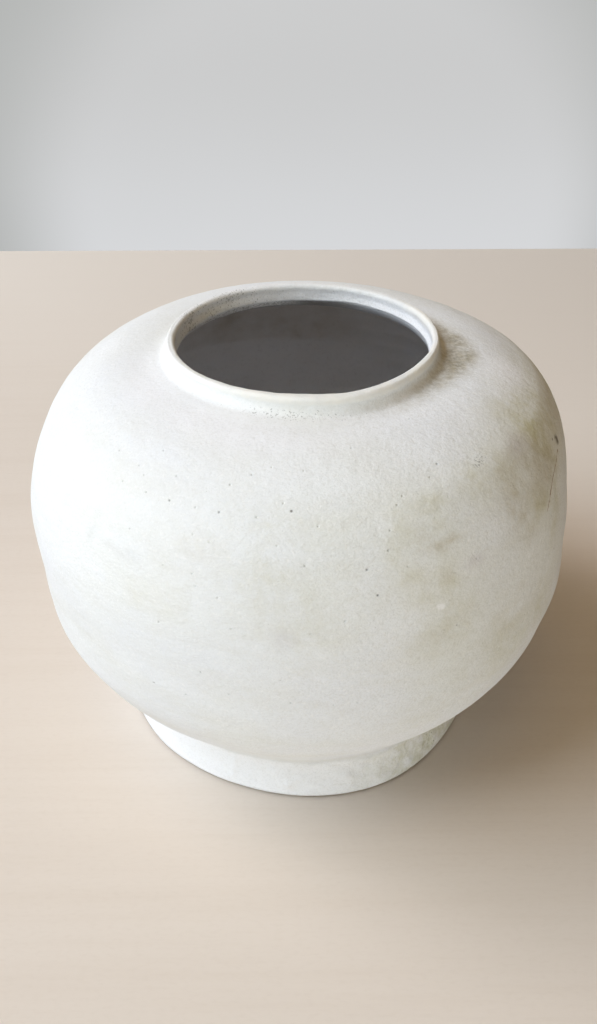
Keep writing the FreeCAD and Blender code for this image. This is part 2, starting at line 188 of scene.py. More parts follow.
_c = (low_in[0] - GLAZE * math.sin(flank)) - (low_in[1] + GLAZE * math.cos(flank) - FLOOR - GLAZE) / math.tan(flank)
_t = (FCOVE - GLAZE) * math.tan(flank / 2)
I1g = (_c + _t * math.cos(flank), FLOOR + GLAZE + _t * math.sin(flank))
I2g = (_c - _t, FLOOR + GLAZE)
WLo, WLi = on_lower_arc(WAIST, COAT), on_lower_arc(WAIST, COAT + WALL)
WUo, WUi = on_lower_arc(WAIST + LUTE, COAT), on_lower_arc(WAIST + LUTE, COAT + WALL)
WLm, WUm = mid(WLo, WLi, VEE), mid(WUo, WUi, VEE)
brow = ST["brow"][2]
_nr = NECK + NCOVE
K0 = (_nr - NCOVE * math.sin(brow), ST["brow"][1] + (_nr - NCOVE * math.sin(brow) - ST["brow"][0]) * math.tan(brow))
_nz = K0[1] - NCOVE * math.cos(brow)
K1 = (NECK, _nz)
K0c = (_nr - (NCOVE + COAT) * math.sin(brow), _nz + (NCOVE + COAT) * math.cos(brow))
K1c = (NECK - COAT, _nz)
LIP = (NECK - MOUTH) / 2
LM = (NECK + MOUTH) / 2
L0, LT, L1 = (NECK, SPRING), (LM, SPRING + LIP), (MOUTH, SPRING)
L0c, LTc, L1c = (NECK - COAT, SPRING), (LM, SPRING + LIP - COAT), (MOUTH + COAT, SPRING)
E, C1 = (EDGE, EDGE_Z), (MOUTH, SKIN_Z)
brow_c, brow_in, brow_g = at("brow", COAT), at("brow", COAT + WALL), at("brow", COAT + WALL + GLAZE)


def cove_radius(p, q):
    chord = math.hypot(q[0] - p[0], q[1] - p[1])
    return chord / (2 * math.sin(brow - math.atan2(q[1] - p[1], q[0] - p[0])))


ER, GR = cove_radius(brow_in, E), cove_radius(brow_g, C1)
_ecr, _ecz = brow_in[0] + ER * math.sin(brow), brow_in[1] - ER * math.cos(brow)


def on_cove(r):
    return (r, _ecz - math.sqrt(ER ** 2 - (r - _ecr) ** 2))


BI, BS = on_cove(BIN), on_cove(BSEAT)
BO = (brow_c[0] - BOUT, brow_c[1] - BOUT * math.tan(brow))
BIG = COAT + WALL
ALL = COAT + WALL + GLAZE


def trace(outline, step, closed=True):
    """Sample a section (as in the CAD model) to points about step apart."""
    pts = []
    n = len(outline)
    for i in range(n if closed else n - 1):
        p, side = outline[i][0], outline[i][1]
        st = outline[i][2] if len(outline[i]) > 2 else step
        q = outline[(i + 1) % n][0]
        chord = math.hypot(q[0] - p[0], q[1] - p[1])
        if side is None:
            k = max(1, int(round(chord / st)))
            for j in range(k):
                pts.append((p[0] + (q[0] - p[0]) * j / k, p[1] + (q[1] - p[1]) * j / k))
        else:
            rad, turn = side
            h = math.sqrt(max(rad ** 2 - (chord / 2) ** 2, 0))
            nx, nz = -(q[1] - p[1]) / chord, (q[0] - p[0]) / chord
            cx, cz = (p[0] + q[0]) / 2 + turn * nx * h, (p[1] + q[1]) / 2 + turn * nz * h
            a = math.atan2(p[1] - cz, p[0] - cx)
            b = math.atan2(q[1] - cz, q[0] - cx)
            sweep = b - a
            while turn > 0 and sweep < 0:
                sweep += 2 * math.pi
            while turn < 0 and sweep > 0:
                sweep -= 2 * math.pi
            k = max(2, int(round(abs(sweep) * rad / st)))
            for j in range(k):
                t = a + sweep * j / k
                pts.append((cx + rad * math.cos(t), cz + rad * math.sin(t)))
    if not closed:
        pts.append(tuple(outline[-1][0]))
    return np.array(pts)


def up(name, t=0.0):
    return (ARC[name] - t, 1)


def down(name, t=0.0):
    return (ARC[name] - t, -1)


# ---------------------------------------------------------------------------
# The hand-made shape: one smooth field moves every piece alike, so the
# layers stay nested. Millimetres; azimuth 0 is +X, -90 faces the camera.
# ---------------------------------------------------------------------------
ZK = [44, 54, 60, 66, 72, 78, 84, 90, 96, 102, 108, 114, 120, 126, 132, 138, 144, 150, 155, 160, 165, 170, 174, 178, 182]
DL = [0.0, 0.1, -0.2, -0.25, 0.3, 0.65, 0.1, -0.35, -0.4, -0.25, 0.2, 0.6, 1.05, 1.25, 0.95, 0.65, 0.2, -0.35, -0.8, -1.2, -1.3, -1.15, -0.8, -0.2, 0.0]
DR = [0.0, 0.3, 0.3, -0.1, -0.4, -0.45, -0.1, 0.6, 0.5, -0.1, -0.45, -0.65, -0.7, -0.85, -1.0, -0.7, -0.1, 0.5, 0.95, 1.1, 1.3, 1.45, 0.7, 0.3, 0.0]
# direction of travel of the outline against height, for the field's normals
HZ = [0, 50, 92, 113, 125, 140, 156, 160, 165, 170, 174, 177, 180, 181.2, 190]
HD = [90, 90, 90, 92.4, 98, 106, 115, 122, 132, 143, 152, 160, 174, 178, 178]
# foot radius and lip radius against azimuth (degrees)
FA = [-180, -147, -136, -126, -117, -108, -99, -91, -83, -74, -65, -56, -46, -35, -20, 30, 90, 140, 180]
FD = [0.5, 0.6, 0.45, -0.2, -0.4, -0.5, 0.0, 0.6, 1.2, 1.8, 2.0, 1.4, 0.4, -0.5, -0.6, 0.2, 0.4, -0.2, 0.5]
LA = [-180, -156, -127, -111, -101, -94, -88, -81, -72, -59, -36, -5, 12, 45, 80, 105, 132, 160, 180]
LD = [0.2, -0.6, -1.4, -1.6, -1.7, -1.5, -1.1, -0.6, 0.0, -0.2, -0.5, 1.4, 2.1, 2.6, 1.4, 1.0, 1.7, 0.8, 0.2]

# the mouth's inner edge, and how far the bore widens below it
MA = [-180, -160, -135, -115, -100, -85, -60, -30, -5, 20, 45, 70, 100, 130, 160, 180]
MD = [1.2, 1.3, 1.4, 1.2, 0.8, 0.1, 0.3, 1.2, 2.2, 1.5, 0.2, 0.2, 0.2, 0.8, 1.2, 1.2]
MF = [0.4, 0.5, 0.5, 0.3, 0.3, 0.3, 0.3, 0.3, 0.2, 0.0, 0.0, -0.1, -0.5, -1.1, -0.8, 0.2]


def field(P):
    """Displacement (N, 3) of points P (N, 3), smooth over a few millimetres."""
    x, y, z = P[:, 0], P[:, 1], P[:, 2]
    r = np.hypot(x, y)
    safe = np.maximum(r, 1e-6)
    ux, uy = x / safe, y / safe
    az = np.degrees(np.arctan2(y, x))
    hd = np.radians(np.interp(z, HZ, HD))
    nr, nz = np.sin(hd), -np.cos(hd)
    # left and right outlines
    wr, wl = np.maximum(ux, 0) ** 1.5, np.maximum(-ux, 0) ** 1.5
    zc = np.clip(z, ZK[0], ZK[-1])
    d = wr * smooth_table(zc, ZK, DR) + wl * smooth_table(zc, ZK, DL)
    # soft unevenness everywhere, stronger where no outline was seen
    ring = np.stack([ux * 118.0, uy * 118.0, z], -1)
    d += 0.55 * fbm(ring, 75.0, 2, 11) * (1 - 0.75 * (wr + wl)) * sstep(0, 40, z) * (1 - 0.6 * sstep(160, 182, z))
    d += 0.16 * fbm(ring, 26.0, 2, 23) * sstep(0, 25, z) * (1 - 0.5 * sstep(170, 182, z))
    # the waist joint: a slight hollow just above it, a slight swell below
    d += (0.22 * np.exp(-((z - 71 - 1.2 * np.sin(np.radians(az * 2 + 30))) / 5.5) ** 2)
          - 0.30 * np.exp(-((z - 82 - 1.2 * np.sin(np.radians(az * 2 + 30))) / 5.0) ** 2))
    dr, dz = d * nr, d * nz
    # foot and lip out of round
    wf = 1 - sstep(10, 46, z)
    dr += wf * smooth_table(az, FA, FD)
    wn = sstep(176, 184, z) * (1 - sstep(62, 78, r))
    dr += wn * smooth_table(az, LA, LD)
    wi = wn * (1 - sstep(51.6, 55.4, r))
    dr += wi * (smooth_table(az, MA, MD) * 0.8 + (1 - sstep(181.5, 185.0, z)) * smooth_table(az, MA, MF))
    dz += wi * (1 - sstep(182.0, 185.0, z)) * sstep(-30, 5, az) * (1 - sstep(60, 85, az)) * 0.9
    # the hollow under the lip is shallower on the left and in front
    dz += wn * 0.7 * np.exp(-((r - 60.5) / 3.6) ** 2) * sstep(-60, -85, az) * (1 - sstep(150, 175, np.abs(az)) * 0.3)
    dz += wn * (0.25 * np.sin(np.radians(az * 2 - 40)) + 0.18 * np.sin(np.radians(az * 3 + 75)))
    g = sstep(2.0, 45.0, r)
    dr, dz = dr * g, dz * g * sstep(1.0, 30.0, z)
    return np.stack([ux * dr, uy * dr, dz], -1)


def turned(name, section, seg, closed=True, fine=None, coarse_from=None, pits=()):
    """Mesh object from a section in mm, turned about Z, moved by the field.

    fine(P, N, U) may add a displacement along the normals; it gets the
    points, the section's outward normals and each row's place along the
    section. An open section starts and ends on the axis. Rows from
    coarse_from on, which face inwards, have a quarter of the segments.
    pits is a list of (azimuth, place, radius, depth, darkness): small holes."""
    n = len(section)
    count = [1 if r < 1e-6 else (seg // 4 if coarse_from is not None and i >= coarse_from else seg)
             for i, (r, z) in enumerate(section)]
    start = np.concatenate([[0], np.cumsum(count)])
    R = np.concatenate([np.full(c, max(p[0], 0.0)) for c, p in zip(count, section)])
    Z = np.concatenate([np.full(c, p[1]) for c, p in zip(count, section)])
    A = np.concatenate([np.arange(c) / c * 2 * math.pi for c in count])
    I = np.concatenate([np.full(c, i) for i, c in enumerate(count)])
    P = np.stack([R * np.cos(A), R * np.sin(A), Z], -1)
    # outward normal of the section: to the right of travel
    nxt = np.roll(section, -1, 0)
    prv = np.roll(section, 1, 0)
    if not closed:
        nxt[-1], prv[0] = section[-1], section[0]
    tan = nxt - prv
    tan /= np.maximum(np.linalg.norm(tan, axis=1, keepdims=True), 1e-9)
    nor = np.stack([tan[:, 1], -tan[:, 0]], -1)
    N = np.stack([nor[I, 0] * np.cos(A), nor[I, 0] * np.sin(A), nor[I, 1]], -1)
    base = P.copy()
    P = P + field(P)
    if fine is not None:
        P = P + N * fine(base, N, I)[:, None]
    faces = []
    for i in range(n if closed else n - 1):
        j = (i + 1) % n
        a, b, ca, cb_ = int(start[i]), int(start[j]), count[i], count[j]
        if ca == 1 and cb_ == 1:
            continue
        if ca == 1:
            faces += [(a, b + (k + 1) % cb_, b + k) for k in range(cb_)]
        elif cb_ == 1:
            faces += [(a + k, a + (k + 1) % ca, b) for k in range(ca)]
        elif ca == cb_:
            faces += [(a + k, a + (k + 1) % ca, b + (k + 1) % ca, b + k) for k in range(ca)]
        elif ca == 4 * cb_:
            for k in range(cb_):
                fine_row = [a + (4 * k + m) % ca for m in range(5)]
                faces += [(fine_row[0], fine_row[1], b + k), (fine_row[1], fine_row[2], b + k),
                          (fine_row[2], b + (k + 1) % cb_, b + k), (fine_row[2], fine_row[3], b + (k + 1) % cb_),
                          (fine_row[3], fine_row[4], b + (k + 1) % cb_)]
        else:
            for k in range(ca):
                fine_row = [b + (4 * k + m) % cb_ for m in range(5)]
                faces += [(a + k, fine_row[1], fine_row[0]), (a + k, fine_row[2], fine_row[1]),
                          (a + k, a + (k + 1) % ca, fine_row[2]), (a + (k + 1) % ca, fine_row[3], fine_row[2]),
                          (a + (k + 1) % ca, fine_row[4], fine_row[3])]
    # each pit takes the place of one four-sided face
    # darkness given to each pit's sunk vertices: painted shade at its bottom
    pit_shade = np.zeros(len(P))
    extra_p, extra_b, extra_h, extra_i = [], [], [], []
    gone = set()
    if pits:
        index = {}
        for fi, f in enumerate(faces):
            if len(f) == 4:
                index[f[0]] = fi
        for az, place, rad, depth, dark in pits:
            i = min(max(place, 1), n - 2)
            k = int(round((az % 360.0) / 360.0 * seg - 0.5)) % seg
            fi = index.get(int(start[i]) + k)
            if fi is None or fi in gone:
                continue
            gone.add(fi)
            f = faces[fi]
            c = [P[v] for v in f]
            nv = np.cross(c[1] - c[0], c[3] - c[0])
            nv /= np.linalg.norm(nv)
            wu = (np.linalg.norm(c[1] - c[0]) + np.linalg.norm(c[2] - c[3])) / 2
            wv = (np.linalg.norm(c[3] - c[0]) + np.linalg.norm(c[2] - c[1])) / 2
            first = len(P) + len(extra_p)
            for ring, (q, dep, hv) in enumerate(((1.0, 0.0, 0.25), (0.62, depth * 0.8, 1.0))):
                for m in range(8):
                    t = math.radians(-135 + 45 * m)
                    u = 0.5 + min(rad * q / wu, 0.42) * math.cos(t)
                    v = 0.5 + min(rad * q / wv, 0.42) * math.sin(t)
                    w4 = ((1 - u) * (1 - v), u * (1 - v), u * v, (1 - u) * v)
                    extra_p.append(sum(w * p for w, p in zip(w4, c)) - nv * dep)
                    extra_b.append(sum(w * base[vv] for w, vv in zip(w4, f)))
                    extra_h.append(hv * dark)
            extra_p.append(sum(c) / 4 - nv * depth)
            extra_b.append(sum(base[vv] for vv in f) / 4)
            extra_h.append(dark)
            extra_i += [i] * 17
            for sd in range(4):
                r0, r1, r2 = first + 2 * sd, first + 2 * sd + 1, first + (2 * sd + 2) % 8
                faces += [(f[sd], r1, r0), (f[sd], f[(sd + 1) % 4], r1), (f[(sd + 1) % 4], r2, r1)]
            for m in range(8):
                m2 = (m + 1) % 8
                faces += [(first + m, first + m2, first + 8 + m2, first + 8 + m), (first + 8 + m, first + 8 + m2, first + 16)]
        faces = [f for fi, f in enumerate(faces) if fi not in gone]
    if extra_p:
        P = np.vstack([P, extra_p])
        base = np.vstack([base, extra_b])
        pit_shade = np.concatenate([pit_shade, extra_h])
    mesh = bpy.data.meshes.new(name)
    mesh.from_pydata((P * 0.001).tolist(), [], faces)
    mesh.validate()
    mesh.polygons.foreach_set("use_smooth", np.ones(len(mesh.polygons), bool))
    mesh.update()
    obj = bpy.data.objects.new(name, mesh)
    bpy.context.scene.collection.objects.link(obj)
    row = np.concatenate([I, extra_i]).astype(int)
    return obj, {"base": base, "pit_shade": pit_shade, "row": row}


def set_attr(obj, name, values):
    at_ = obj.data.attributes.new(name, "FLOAT", "POINT")
    at_.data.foreach_set("value", np.asarray(values, np.float32))


# ---------------------------------------------------------------------------
# Surface of the slip coat
# ---------------------------------------------------------------------------


def blob(az, z, a0, z0, wa, wz):
    """Soft patch centred on an azimuth (degrees) and a height (mm)."""
    return np.exp(-((angdiff(az, a0) / wa) ** 2 + ((z - z0) / wz) ** 2))


def coat_section():
    out = [
        (F0, None, 0.95), (F1, (FOOT_COVE, -1), 1.1), (F2, None, 1.45),
        (at("low"), up("low"), 1.45), (at("girth"), up("girth"), 1.45), (at("side"), up("side"), 1.4),
        (at("shoulder"), up("shoulder"), 1.3), (at("crown"), up("crown"), 1.25), (at("brow"), None, 1.0),
        (K0, (NCOVE, -1), 0.75), (K1, None, 0.7), (L0, (LIP, 1), 0.55), (LT, (LIP, 1), 0.5), (L1, None, 0.6),
        (C1, None, 0.4)]
    inner = [
        (E, None, 3.0), (L1c, (LIP - COAT, -1), 1.2), (LTc, (LIP - COAT, -1), 1.2), (L0c, None, 2.0),
        (K1c, (NCOVE + COAT, 1), 1.6), (K0c, None, 3.0),
        (brow_c, down("crown", COAT), 4.0), (at("crown", COAT), down("shoulder", COAT), 4.0),
        (at("shoulder", COAT), down("side", COAT), 5.0), (at("side", COAT), down("girth", COAT), 5.0),
        (at("girth", COAT), down("low", COAT), 5.0), (at("low", COAT), None, 6.0),
        (G, (FOOT_FILL, 1), 2.0), (F1c, None, 4.0), (F0c, None, 0.5)]
    full = trace(out + inner, 1.0)
    n_out = len(trace(out + [(E, None)], 1.0, closed=False)) - 1
    return full, n_out


sec, n_outer = coat_section()


def coat_fine(P, N, I):
    x, y, z = P[:, 0], P[:, 1], P[:, 2]
    az = np.degrees(np.arctan2(y, x))
    r = np.hypot(x, y)
    outer = (I < n_outer).astype(float)
    # fade to nothing at the coat's two free edges
    edge = np.clip(np.minimum(I / 2.0, (n_outer - 1 - I) / 3.0), 0, 1) * outer
    ring = np.stack([x, y, z], -1)
    body = sstep(26, 34, z) * (1 - sstep(178, 181.5, z) * (r < 75))
    # throwing rings, dying out and coming back round the pot
    tilt = z + 1.5 * np.sin(np.radians(az + 40)) + 1.1 * fbm(ring, 60.0, 2, 51)
    strength = 0.35 + 0.65 * sstep(-0.3, 0.5, fbm(np.stack([x * 0.4, y * 0.4, z], -1), 22.0, 2, 61))
    rings = np.sin(2 * np.pi * tilt / 6.4) * 0.6 + np.sin(2 * np.pi * tilt / 3.7 + 1.3) * 0.3
    d = 0.045 * rings * strength * body
    # brushed-on slip: long flat strokes, and fine pimples
    stroke = np.stack([x * 0.45, y * 0.45, z], -1)
    d += 0.085 * fbm(stroke, 9.0, 3, 71) * body
    d += 0.060 * fbm(ring, 3.6, 2, 81) * body
    # foot: rough dragged slip, lumps and a ragged upper edge on the right
    foot = (1 - sstep(20, 27, z))
    right = sstep(-104, -84, az) * (1 - sstep(10, 40, az))
    drag = np.stack([x * 0.8 + z * 0.75, y * 0.8, z * 0.45 - x * 0.35], -1)
    rough = fbm(drag, 7.0, 3, 91)
    d += foot * (0.26 + 0.40 * right) * rough
    d += foot * 0.22 * fbm(ring, 3.4, 2, 99)
    d += foot * (0.25 + 0.75 * right) * 0.95 * np.maximum(0, fbm(ring, 4.2, 3, 93) - 0.12)
    # an irregular lip of slip where the smooth body starts
    top = 20.5 + 2.6 * fbm(np.stack([x, y, z * 0], -1), 9.0, 3, 95)
    d += right * (0.70 * np.exp(-((z - top + 1.6) / 1.5) ** 2)) * sstep(-0.5, 0.3, fbm(ring, 6.0, 2, 97))
    # a fold in the slip and single lumps at the front
    d += 0.55 * np.exp(-((angdiff(az, -111.0) - (z - 10) * 0.05) / 0.9) ** 2) * sstep(2.5, 6, z) * (1 - sstep(15, 20, z))
    for a0, z0, w, h in ((-94.3, 7.2, 2.1, 0.95), (-92.2, 10.0, 1.3, 0.5), (-98.4, 13.6, 1.6, 0.6), (-96.0, 12.2, 1.0, 0.4),
                         (-90.7, 11.4, 1.4, 0.45), (-77.0, 12.6, 1.5, 0.6), (-72.5, 15.6, 1.9, 0.6), (-67.6, 12.0, 2.0, 0.5),
                         (-60.4, 15.0, 1.8, 0.5), (-50.6, 9.0, 1.7, 0.6), (-54.5, 13.0, 1.5, 0.5), (-44.0, 8.0, 1.4, 0.4)):
        arc = np.radians(angdiff(az, a0)) * 88.0
        d += h * np.exp(-((arc / w) ** 2 + ((z - z0) / (w * 0.8)) ** 2))
    # lip: slightly lumpy, with nicks in its inner edge
    lip = sstep(181.5, 184, z) * (r < 62)
    d += lip * 0.12 * fbm(ring, 6.0, 2, 101)
    corner = 2 * np.abs(np.hypot(N[:, 0], N[:, 1]) * N[:, 2])
    d += sstep(185.2, 185.9, z) * (r < 60) * corner * (0.34 + 0.16 * fbm(ring, 9.0, 2, 107))
    # ragged lower edge of the slip inside the neck
    low = (1 - sstep(180.8, 184.2, z)) * (r < 53.5)
    d += low * 0.22 * fbm(ring, 3.2, 3, 103)
    d *= np.maximum(edge, 0.0)
    # the skin is 0.6 mm thick, so hollows stay shallower than that
    return np.where(outer > 0, np.maximum(d, -0.42), 0.0)


# distance along the coat's outer line, row by row
arc = np.concatenate([[0], np.cumsum(np.hypot(*np.diff(sec, axis=0).T))])


def row_at(r, z):
    """Outer row of the coat nearest to a radius and a height."""
    return int(np.argmin(np.hypot(sec[:n_outer, 0] - r, sec[:n_outer, 1] - z)))


def row_at_height(z):
    ok = np.where(sec[:n_outer, 0] > 58, np.abs(sec[:n_outer, 1] - z), 1e9)
    return int(np.argmin(ok))


# pinholes: (azimuth, height); the front ones where they are seen, more behind
PINS = [
    (-145.4, 181.2), (-122.9, 168.0), (-117.2, 167.3), (-106.5, 167.6), (-92.4, 169.4), (-77.1, 179.4), (-58.9, 174.2),
    (-78.9, 151.7), (-77.0, 143.4), (-82.5, 134.6), (-61.7, 122.7), (-74.8, 157.6), (-127.8, 172.4), (-125.7, 171.3),
    (-135.3, 173.2), (-124.5, 176.5), (-117.5, 173.3), (-129.4, 167.4), (-111.0, 167.6), (-97.3, 177.5), (-89.8, 176.8),
    (-101.0, 176.0), (-105.7, 173.4), (-94.0, 171.0), (-99.0, 167.6), (-87.3, 166.1), (-124.0, 156.1), (-110.0, 148.3),
    (-115.5, 126.5), (-102.0, 130.9), (-117.9, 94.6), (-92.4, 99.0), (-111.0, 94.5), (-107.8, 108.6), (-89.2, 155.0),
    (-55.6, 180.7), (-69.6, 170.5), (-73.6, 162.8), (-57.3, 145.8), (-62.0, 172.6), (-71.0, 168.7)]
STRONG = {(-78.9, 151.7): 0.8, (-77.0, 143.4): 1.0, (-92.4, 169.4): 1.0, (-117.2, 167.3): 0.6, (-106.5, 167.6): 0.6,
          (-117.9, 94.6): 0.6, (-58.9, 174.2): 0.5, (-62.0, 172.6): 0.4, (-74.8, 157.6): 0.5, (-122.9, 168.0): 0.4,
          (-71.0, 168.7): 0.4, (-107.8, 108.6): 0.4, (-61.7, 122.7): 0.4}
rng = np.random.RandomState(7)
pits = [(a, row_at_height(h), (0.30 if STRONG.get((a, h), 0.2) < 0.5 else 0.40) + 0.08 * rng.rand(), 0.26, STRONG.get((a, h), 0.22))
        for a, h in PINS]
pits += [(rng.uniform(-40, 210), row_at_height(rng.uniform(60, 178)), 0.28 + 0.14 * rng.rand(), 0.24, rng.uniform(0.1, 0.7)) for _ in range(46)]
pits += [(rng.uniform(-140, -40), row_at_height(rng.uniform(60, 172)), 0.25 + 0.08 * rng.rand(), 0.18, 0.15) for _ in range(22)]

SEG = 432
coat, cinfo = turned("slip_coat", sec, SEG, fine=coat_fine, coarse_from=n_outer, pits=pits)

cb, crow = cinfo["base"], cinfo["row"]
cx, cy, cz = cb[:, 0], cb[:, 1], cb[:, 2]
caz = np.degrees(np.arctan2(cy, cx))
cr = np.hypot(cx, cy)
carc = arc[crow]
outer_v = (crow < n_outer).astype(float)
big = fbm(cb, 34.0, 4, 201)
med = fbm(cb, 13.0, 4, 203)
small = fbm(cb, 5.0, 2, 205)
warp_a = 2.6 * fbm(cb, 15.0, 3, 211) + 0.9 * fbm(cb, 4.5, 2, 213)
warp_s = 2.2 * fbm(cb, 15.0, 3, 221) + 0.9 * fbm(cb, 4.5, 2, 223)


def patches(places):
    """Sum of soft patches: x, y, z (mm), half width, half height, strength."""
    total = np.zeros(len(cb))
    for x0, y0, z0, w, h, k in places:
        r0 = math.hypot(x0, y0)
        da = np.radians(angdiff(caz, math.degrees(math.atan2(y0, x0)))) * r0
        ds = carc - arc[row_at(r0, z0)]
        q = min(1.0, 0.3 + h / 12.0)
        total += k * np.exp(-(((da + warp_a * q) / w) ** 2 + ((ds + warp_s * q) / h) ** 2))
    return total


# grey-olive clouds on the right, a broken arc beside them, a weak belt in front
olive = patches([
    (41.8, -91.7, 167.3, 10.4, 3.5, 0.30), (33.5, -99.5, 162.7, 4.0, 8.1, 0.34), (30.1, -105.5, 154.6, 3.3, 7.0, 0.28),
    (43.4, -95.6, 163.0, 8.4, 4.8, 0.16), (34.9, -107.6, 146.5, 6.7, 3.7, 0.36), (40.5, -108.1, 138.7, 8.7, 5.0, 0.22),
    (50.5, -102.2, 144.0, 7.0, 5.0, 0.14), (50.9, -107.4, 122.5, 15.0, 12.0, 0.24), (62.5, -81.6, 165.5, 7.6, 3.7, 0.22),
    (75.7, -12.3, 179.6, 5.9, 12.6, 0.05), (93.4, 3.2, 173.0, 14.0, 12.0, 0.14), (89.3, -35.9, 171.2, 14.1, 14.5, 0.54),
    (97.1, -12.6, 170.0, 16.7, 14.0, 0.30), (94.3, -48.3, 161.5, 12.0, 15.8, 0.52), (91.3, -64.8, 149.7, 12.4, 7.6, 0.40),
    (75.5, -43.0, 176.2, 6.9, 8.7, 0.20), (99.9, -59.5, 136.1, 10.8, 12.5, 0.28), (-17.5, -107.5, 156.5, 27.4, 15.0, 0.20),
    (-4.1, -100.5, 167.8, 20.0, 8.1, 0.14), (-53.5, -102.5, 137.9, 20.5, 8.6, 0.16), (-10.9, -111.6, 149.0, 11.5, 5.7, 0.14),
    (76.9, -92.2, 97.6, 18.6, 16.8, 0.22), (59.3, -76.1, 171.1, 5.8, 4.0, 0.25), (108.0, 14.0, 160.0, 18.0, 16.0, 0.28),
    (98.0, 56.0, 140.0, 22.0, 18.0, 0.30), (20.0, 112.0, 150.0, 26.0, 14.0, 0.28), (-70.0, 92.0, 128.0, 20.0, 20.0, 0.22),
    (-104.0, 30.0, 150.0, 20.0, 12.0, 0.16), (60.0, 96.0, 100.0, 24.0, 16.0, 0.20),
    (2.5, -113.8, 144.2, 22.0, 20.0, 0.10), (-0.9, -117.7, 129.3, 20.0, 15.0, 0.10), (50.7, -108.8, 87.9, 16.0, 14.0, 0.12),
    # the patch low on the right edge at 103 mm also warms that edge like light thrown up from the floor: painted bounce
    # light, over the olive stain
    (70.2, -64.3, 171.9, 15.0, 13.0, 0.20), (59.0, -79.5, 169.1, 12.0, 12.0, 0.06), (79.5, -72.0, 159.5, 12.0, 14.0, 0.07), (97.4, -70.1, 103.4, 10.0, 18.0, 0.22), (78.5, -90.9, 96.2, 12.0, 12.0, 0.14),
    (50.9, -89.2, 165.5, 12.0, 12.0, 0.10), (49.1, -99.6, 151.7, 14.0, 12.0, 0.09), (53.9, -103.9, 132.4, 16.0, 14.0, 0.12)])
brown = patches([
    (51.5, -96.0, 156.4, 5.0, 1.4, 0.50), (46.1, -99.6, 154.5, 5.6, 2.1, 0.38), (39.1, -100.2, 158.9, 4.5, 3.4, 0.16),
    (74.0, -73.0, 164.3, 7.0, 8.5, 0.26), (79.0, -75.5, 155.6, 8.0, 8.0, 0.28), (83.5, -77.0, 146.0, 8.0, 6.5, 0.30),
    (79.5, -58.0, 169.6, 6.6, 4.3, 0.22), (50.5, -102.2, 144.0, 4.6, 2.6, 0.12), (33.9, -107.9, 145.9, 4.5, 2.6, 0.18),
    (50.9, -107.4, 122.5, 10.1, 6.3, 0.16), (89.9, -58.8, 159.3, 11.2, 12.0, 0.30), (80.7, -88.0, 117.4, 16.5, 15.1, 0.14),
    (-34.5, -102.1, 158.7, 16.8, 8.9, 0.10), (9.8, -119.5, 100.6, 22.0, 11.5, 0.08), (112.0, 26.0, 146.0, 9.0, 7.0, 0.30),
    (34.0, 108.0, 146.0, 8.0, 4.0, 0.30), (-60.0, 98.0, 134.0, 7.0, 4.0, 0.24)])
violet = patches([
    (79.5, -58.0, 169.6, 6.6, 4.3, 0.45), (60.8, -95.8, 145.4, 3.9, 2.2, 0.30), (-6.1, -117.5, 129.1, 4.8, 3.7, 0.22),
    (92.7, -56.2, 157.6, 10.9, 8.0, 0.20), (84.0, 80.0, 128.0, 8.0, 6.0, 0.20)])
# paler patches: partly whiter slip, partly painted light on spots of the body
pale_and_painted_light = 0.5 * patches([
    (66.5, -87.9, 153.5, 11.0, 5.8, 0.55), (58.4, -89.0, 160.9, 7.9, 3.5, 0.30), (34.1, -113.5, 124.8, 9.3, 13.1, 0.45),
    (19.4, -112.5, 142.9, 7.7, 9.6, 0.30), (86.4, -77.9, 135.6, 5.6, 2.6, 0.50), (50.3, -75.0, 174.7, 11.7, 13.1, 0.30),
    (9.5, -118.4, 122.6, 10.5, 5.3, 0.20), (-64.4, -76.9, 168.0, 22.6, 11.6, 0.20), (40.0, -75.0, 178.0, 14.0, 6.0, 0.30)])
# mostly on the upper shoulder, which faces the light from above: painted light, with some whiter slip
pale_and_painted_light += patches([
    (-60.5, -14.0, 181.0, 16.0, 9.0, 0.65), (-57.0, -34.0, 180.9, 15.0, 9.0, 0.65), (-42.0, -56.0, 180.5, 17.0, 9.0, 0.70),
    (-20.0, -70.0, 180.2, 19.0, 8.5, 0.70), (4.0, -72.5, 180.2, 18.0, 7.0, 0.45), (-6.0, -86.0, 177.2, 26.0, 7.0, 0.22),
    (83.8, -16.1, 177.0, 12.0, 10.0, 0.85), (92.5, -42.0, 166.7, 8.0, 14.0, 0.30), (32.9, -97.4, 165.3, 9.0, 7.0, 0.25),
    (40.4, -107.1, 142.4, 12.0, 12.0, 0.30), (59.7, -96.7, 144.8, 8.0, 6.0, 0.25), (-36.2, -101.7, 158.3, 13.0, 8.0, 0.30), (-50.8, -103.8, 138.6, 13.0, 8.0, 0.25), (39.9, -52.4, 181.0, 14.0, 7.0, 0.35), (17.4, -61.5, 181.0, 16.0, 7.0, 0.28), (84.2, -7.9, 177.3, 10.0, 9.0, 0.40),
    (-22.4, -57.6, 181.0, 16.0, 8.0, 0.45), (36.9, -45.6, 181.4, 12.0, 5.0, 0.55), (79.5, -32.3, 176.7, 9.0, 8.0, 0.45),
    (-81.0, 10.3, 178.3, 10.0, 9.0, 0.30), (-61.7, -37.6, 180.4, 12.0, 7.0, 0.25), (62.2, -53.6, 178.2, 12.0, 8.0, 0.25)])
broken = np.clip(1.0 + 0.55 * big + 0.75 * med + 0.45 * small, 0.25, 1.7)
olive = olive * broken
brown = brown * np.clip(1.0 + 0.9 * med + 0.9 * small, 0.1, 1.9)

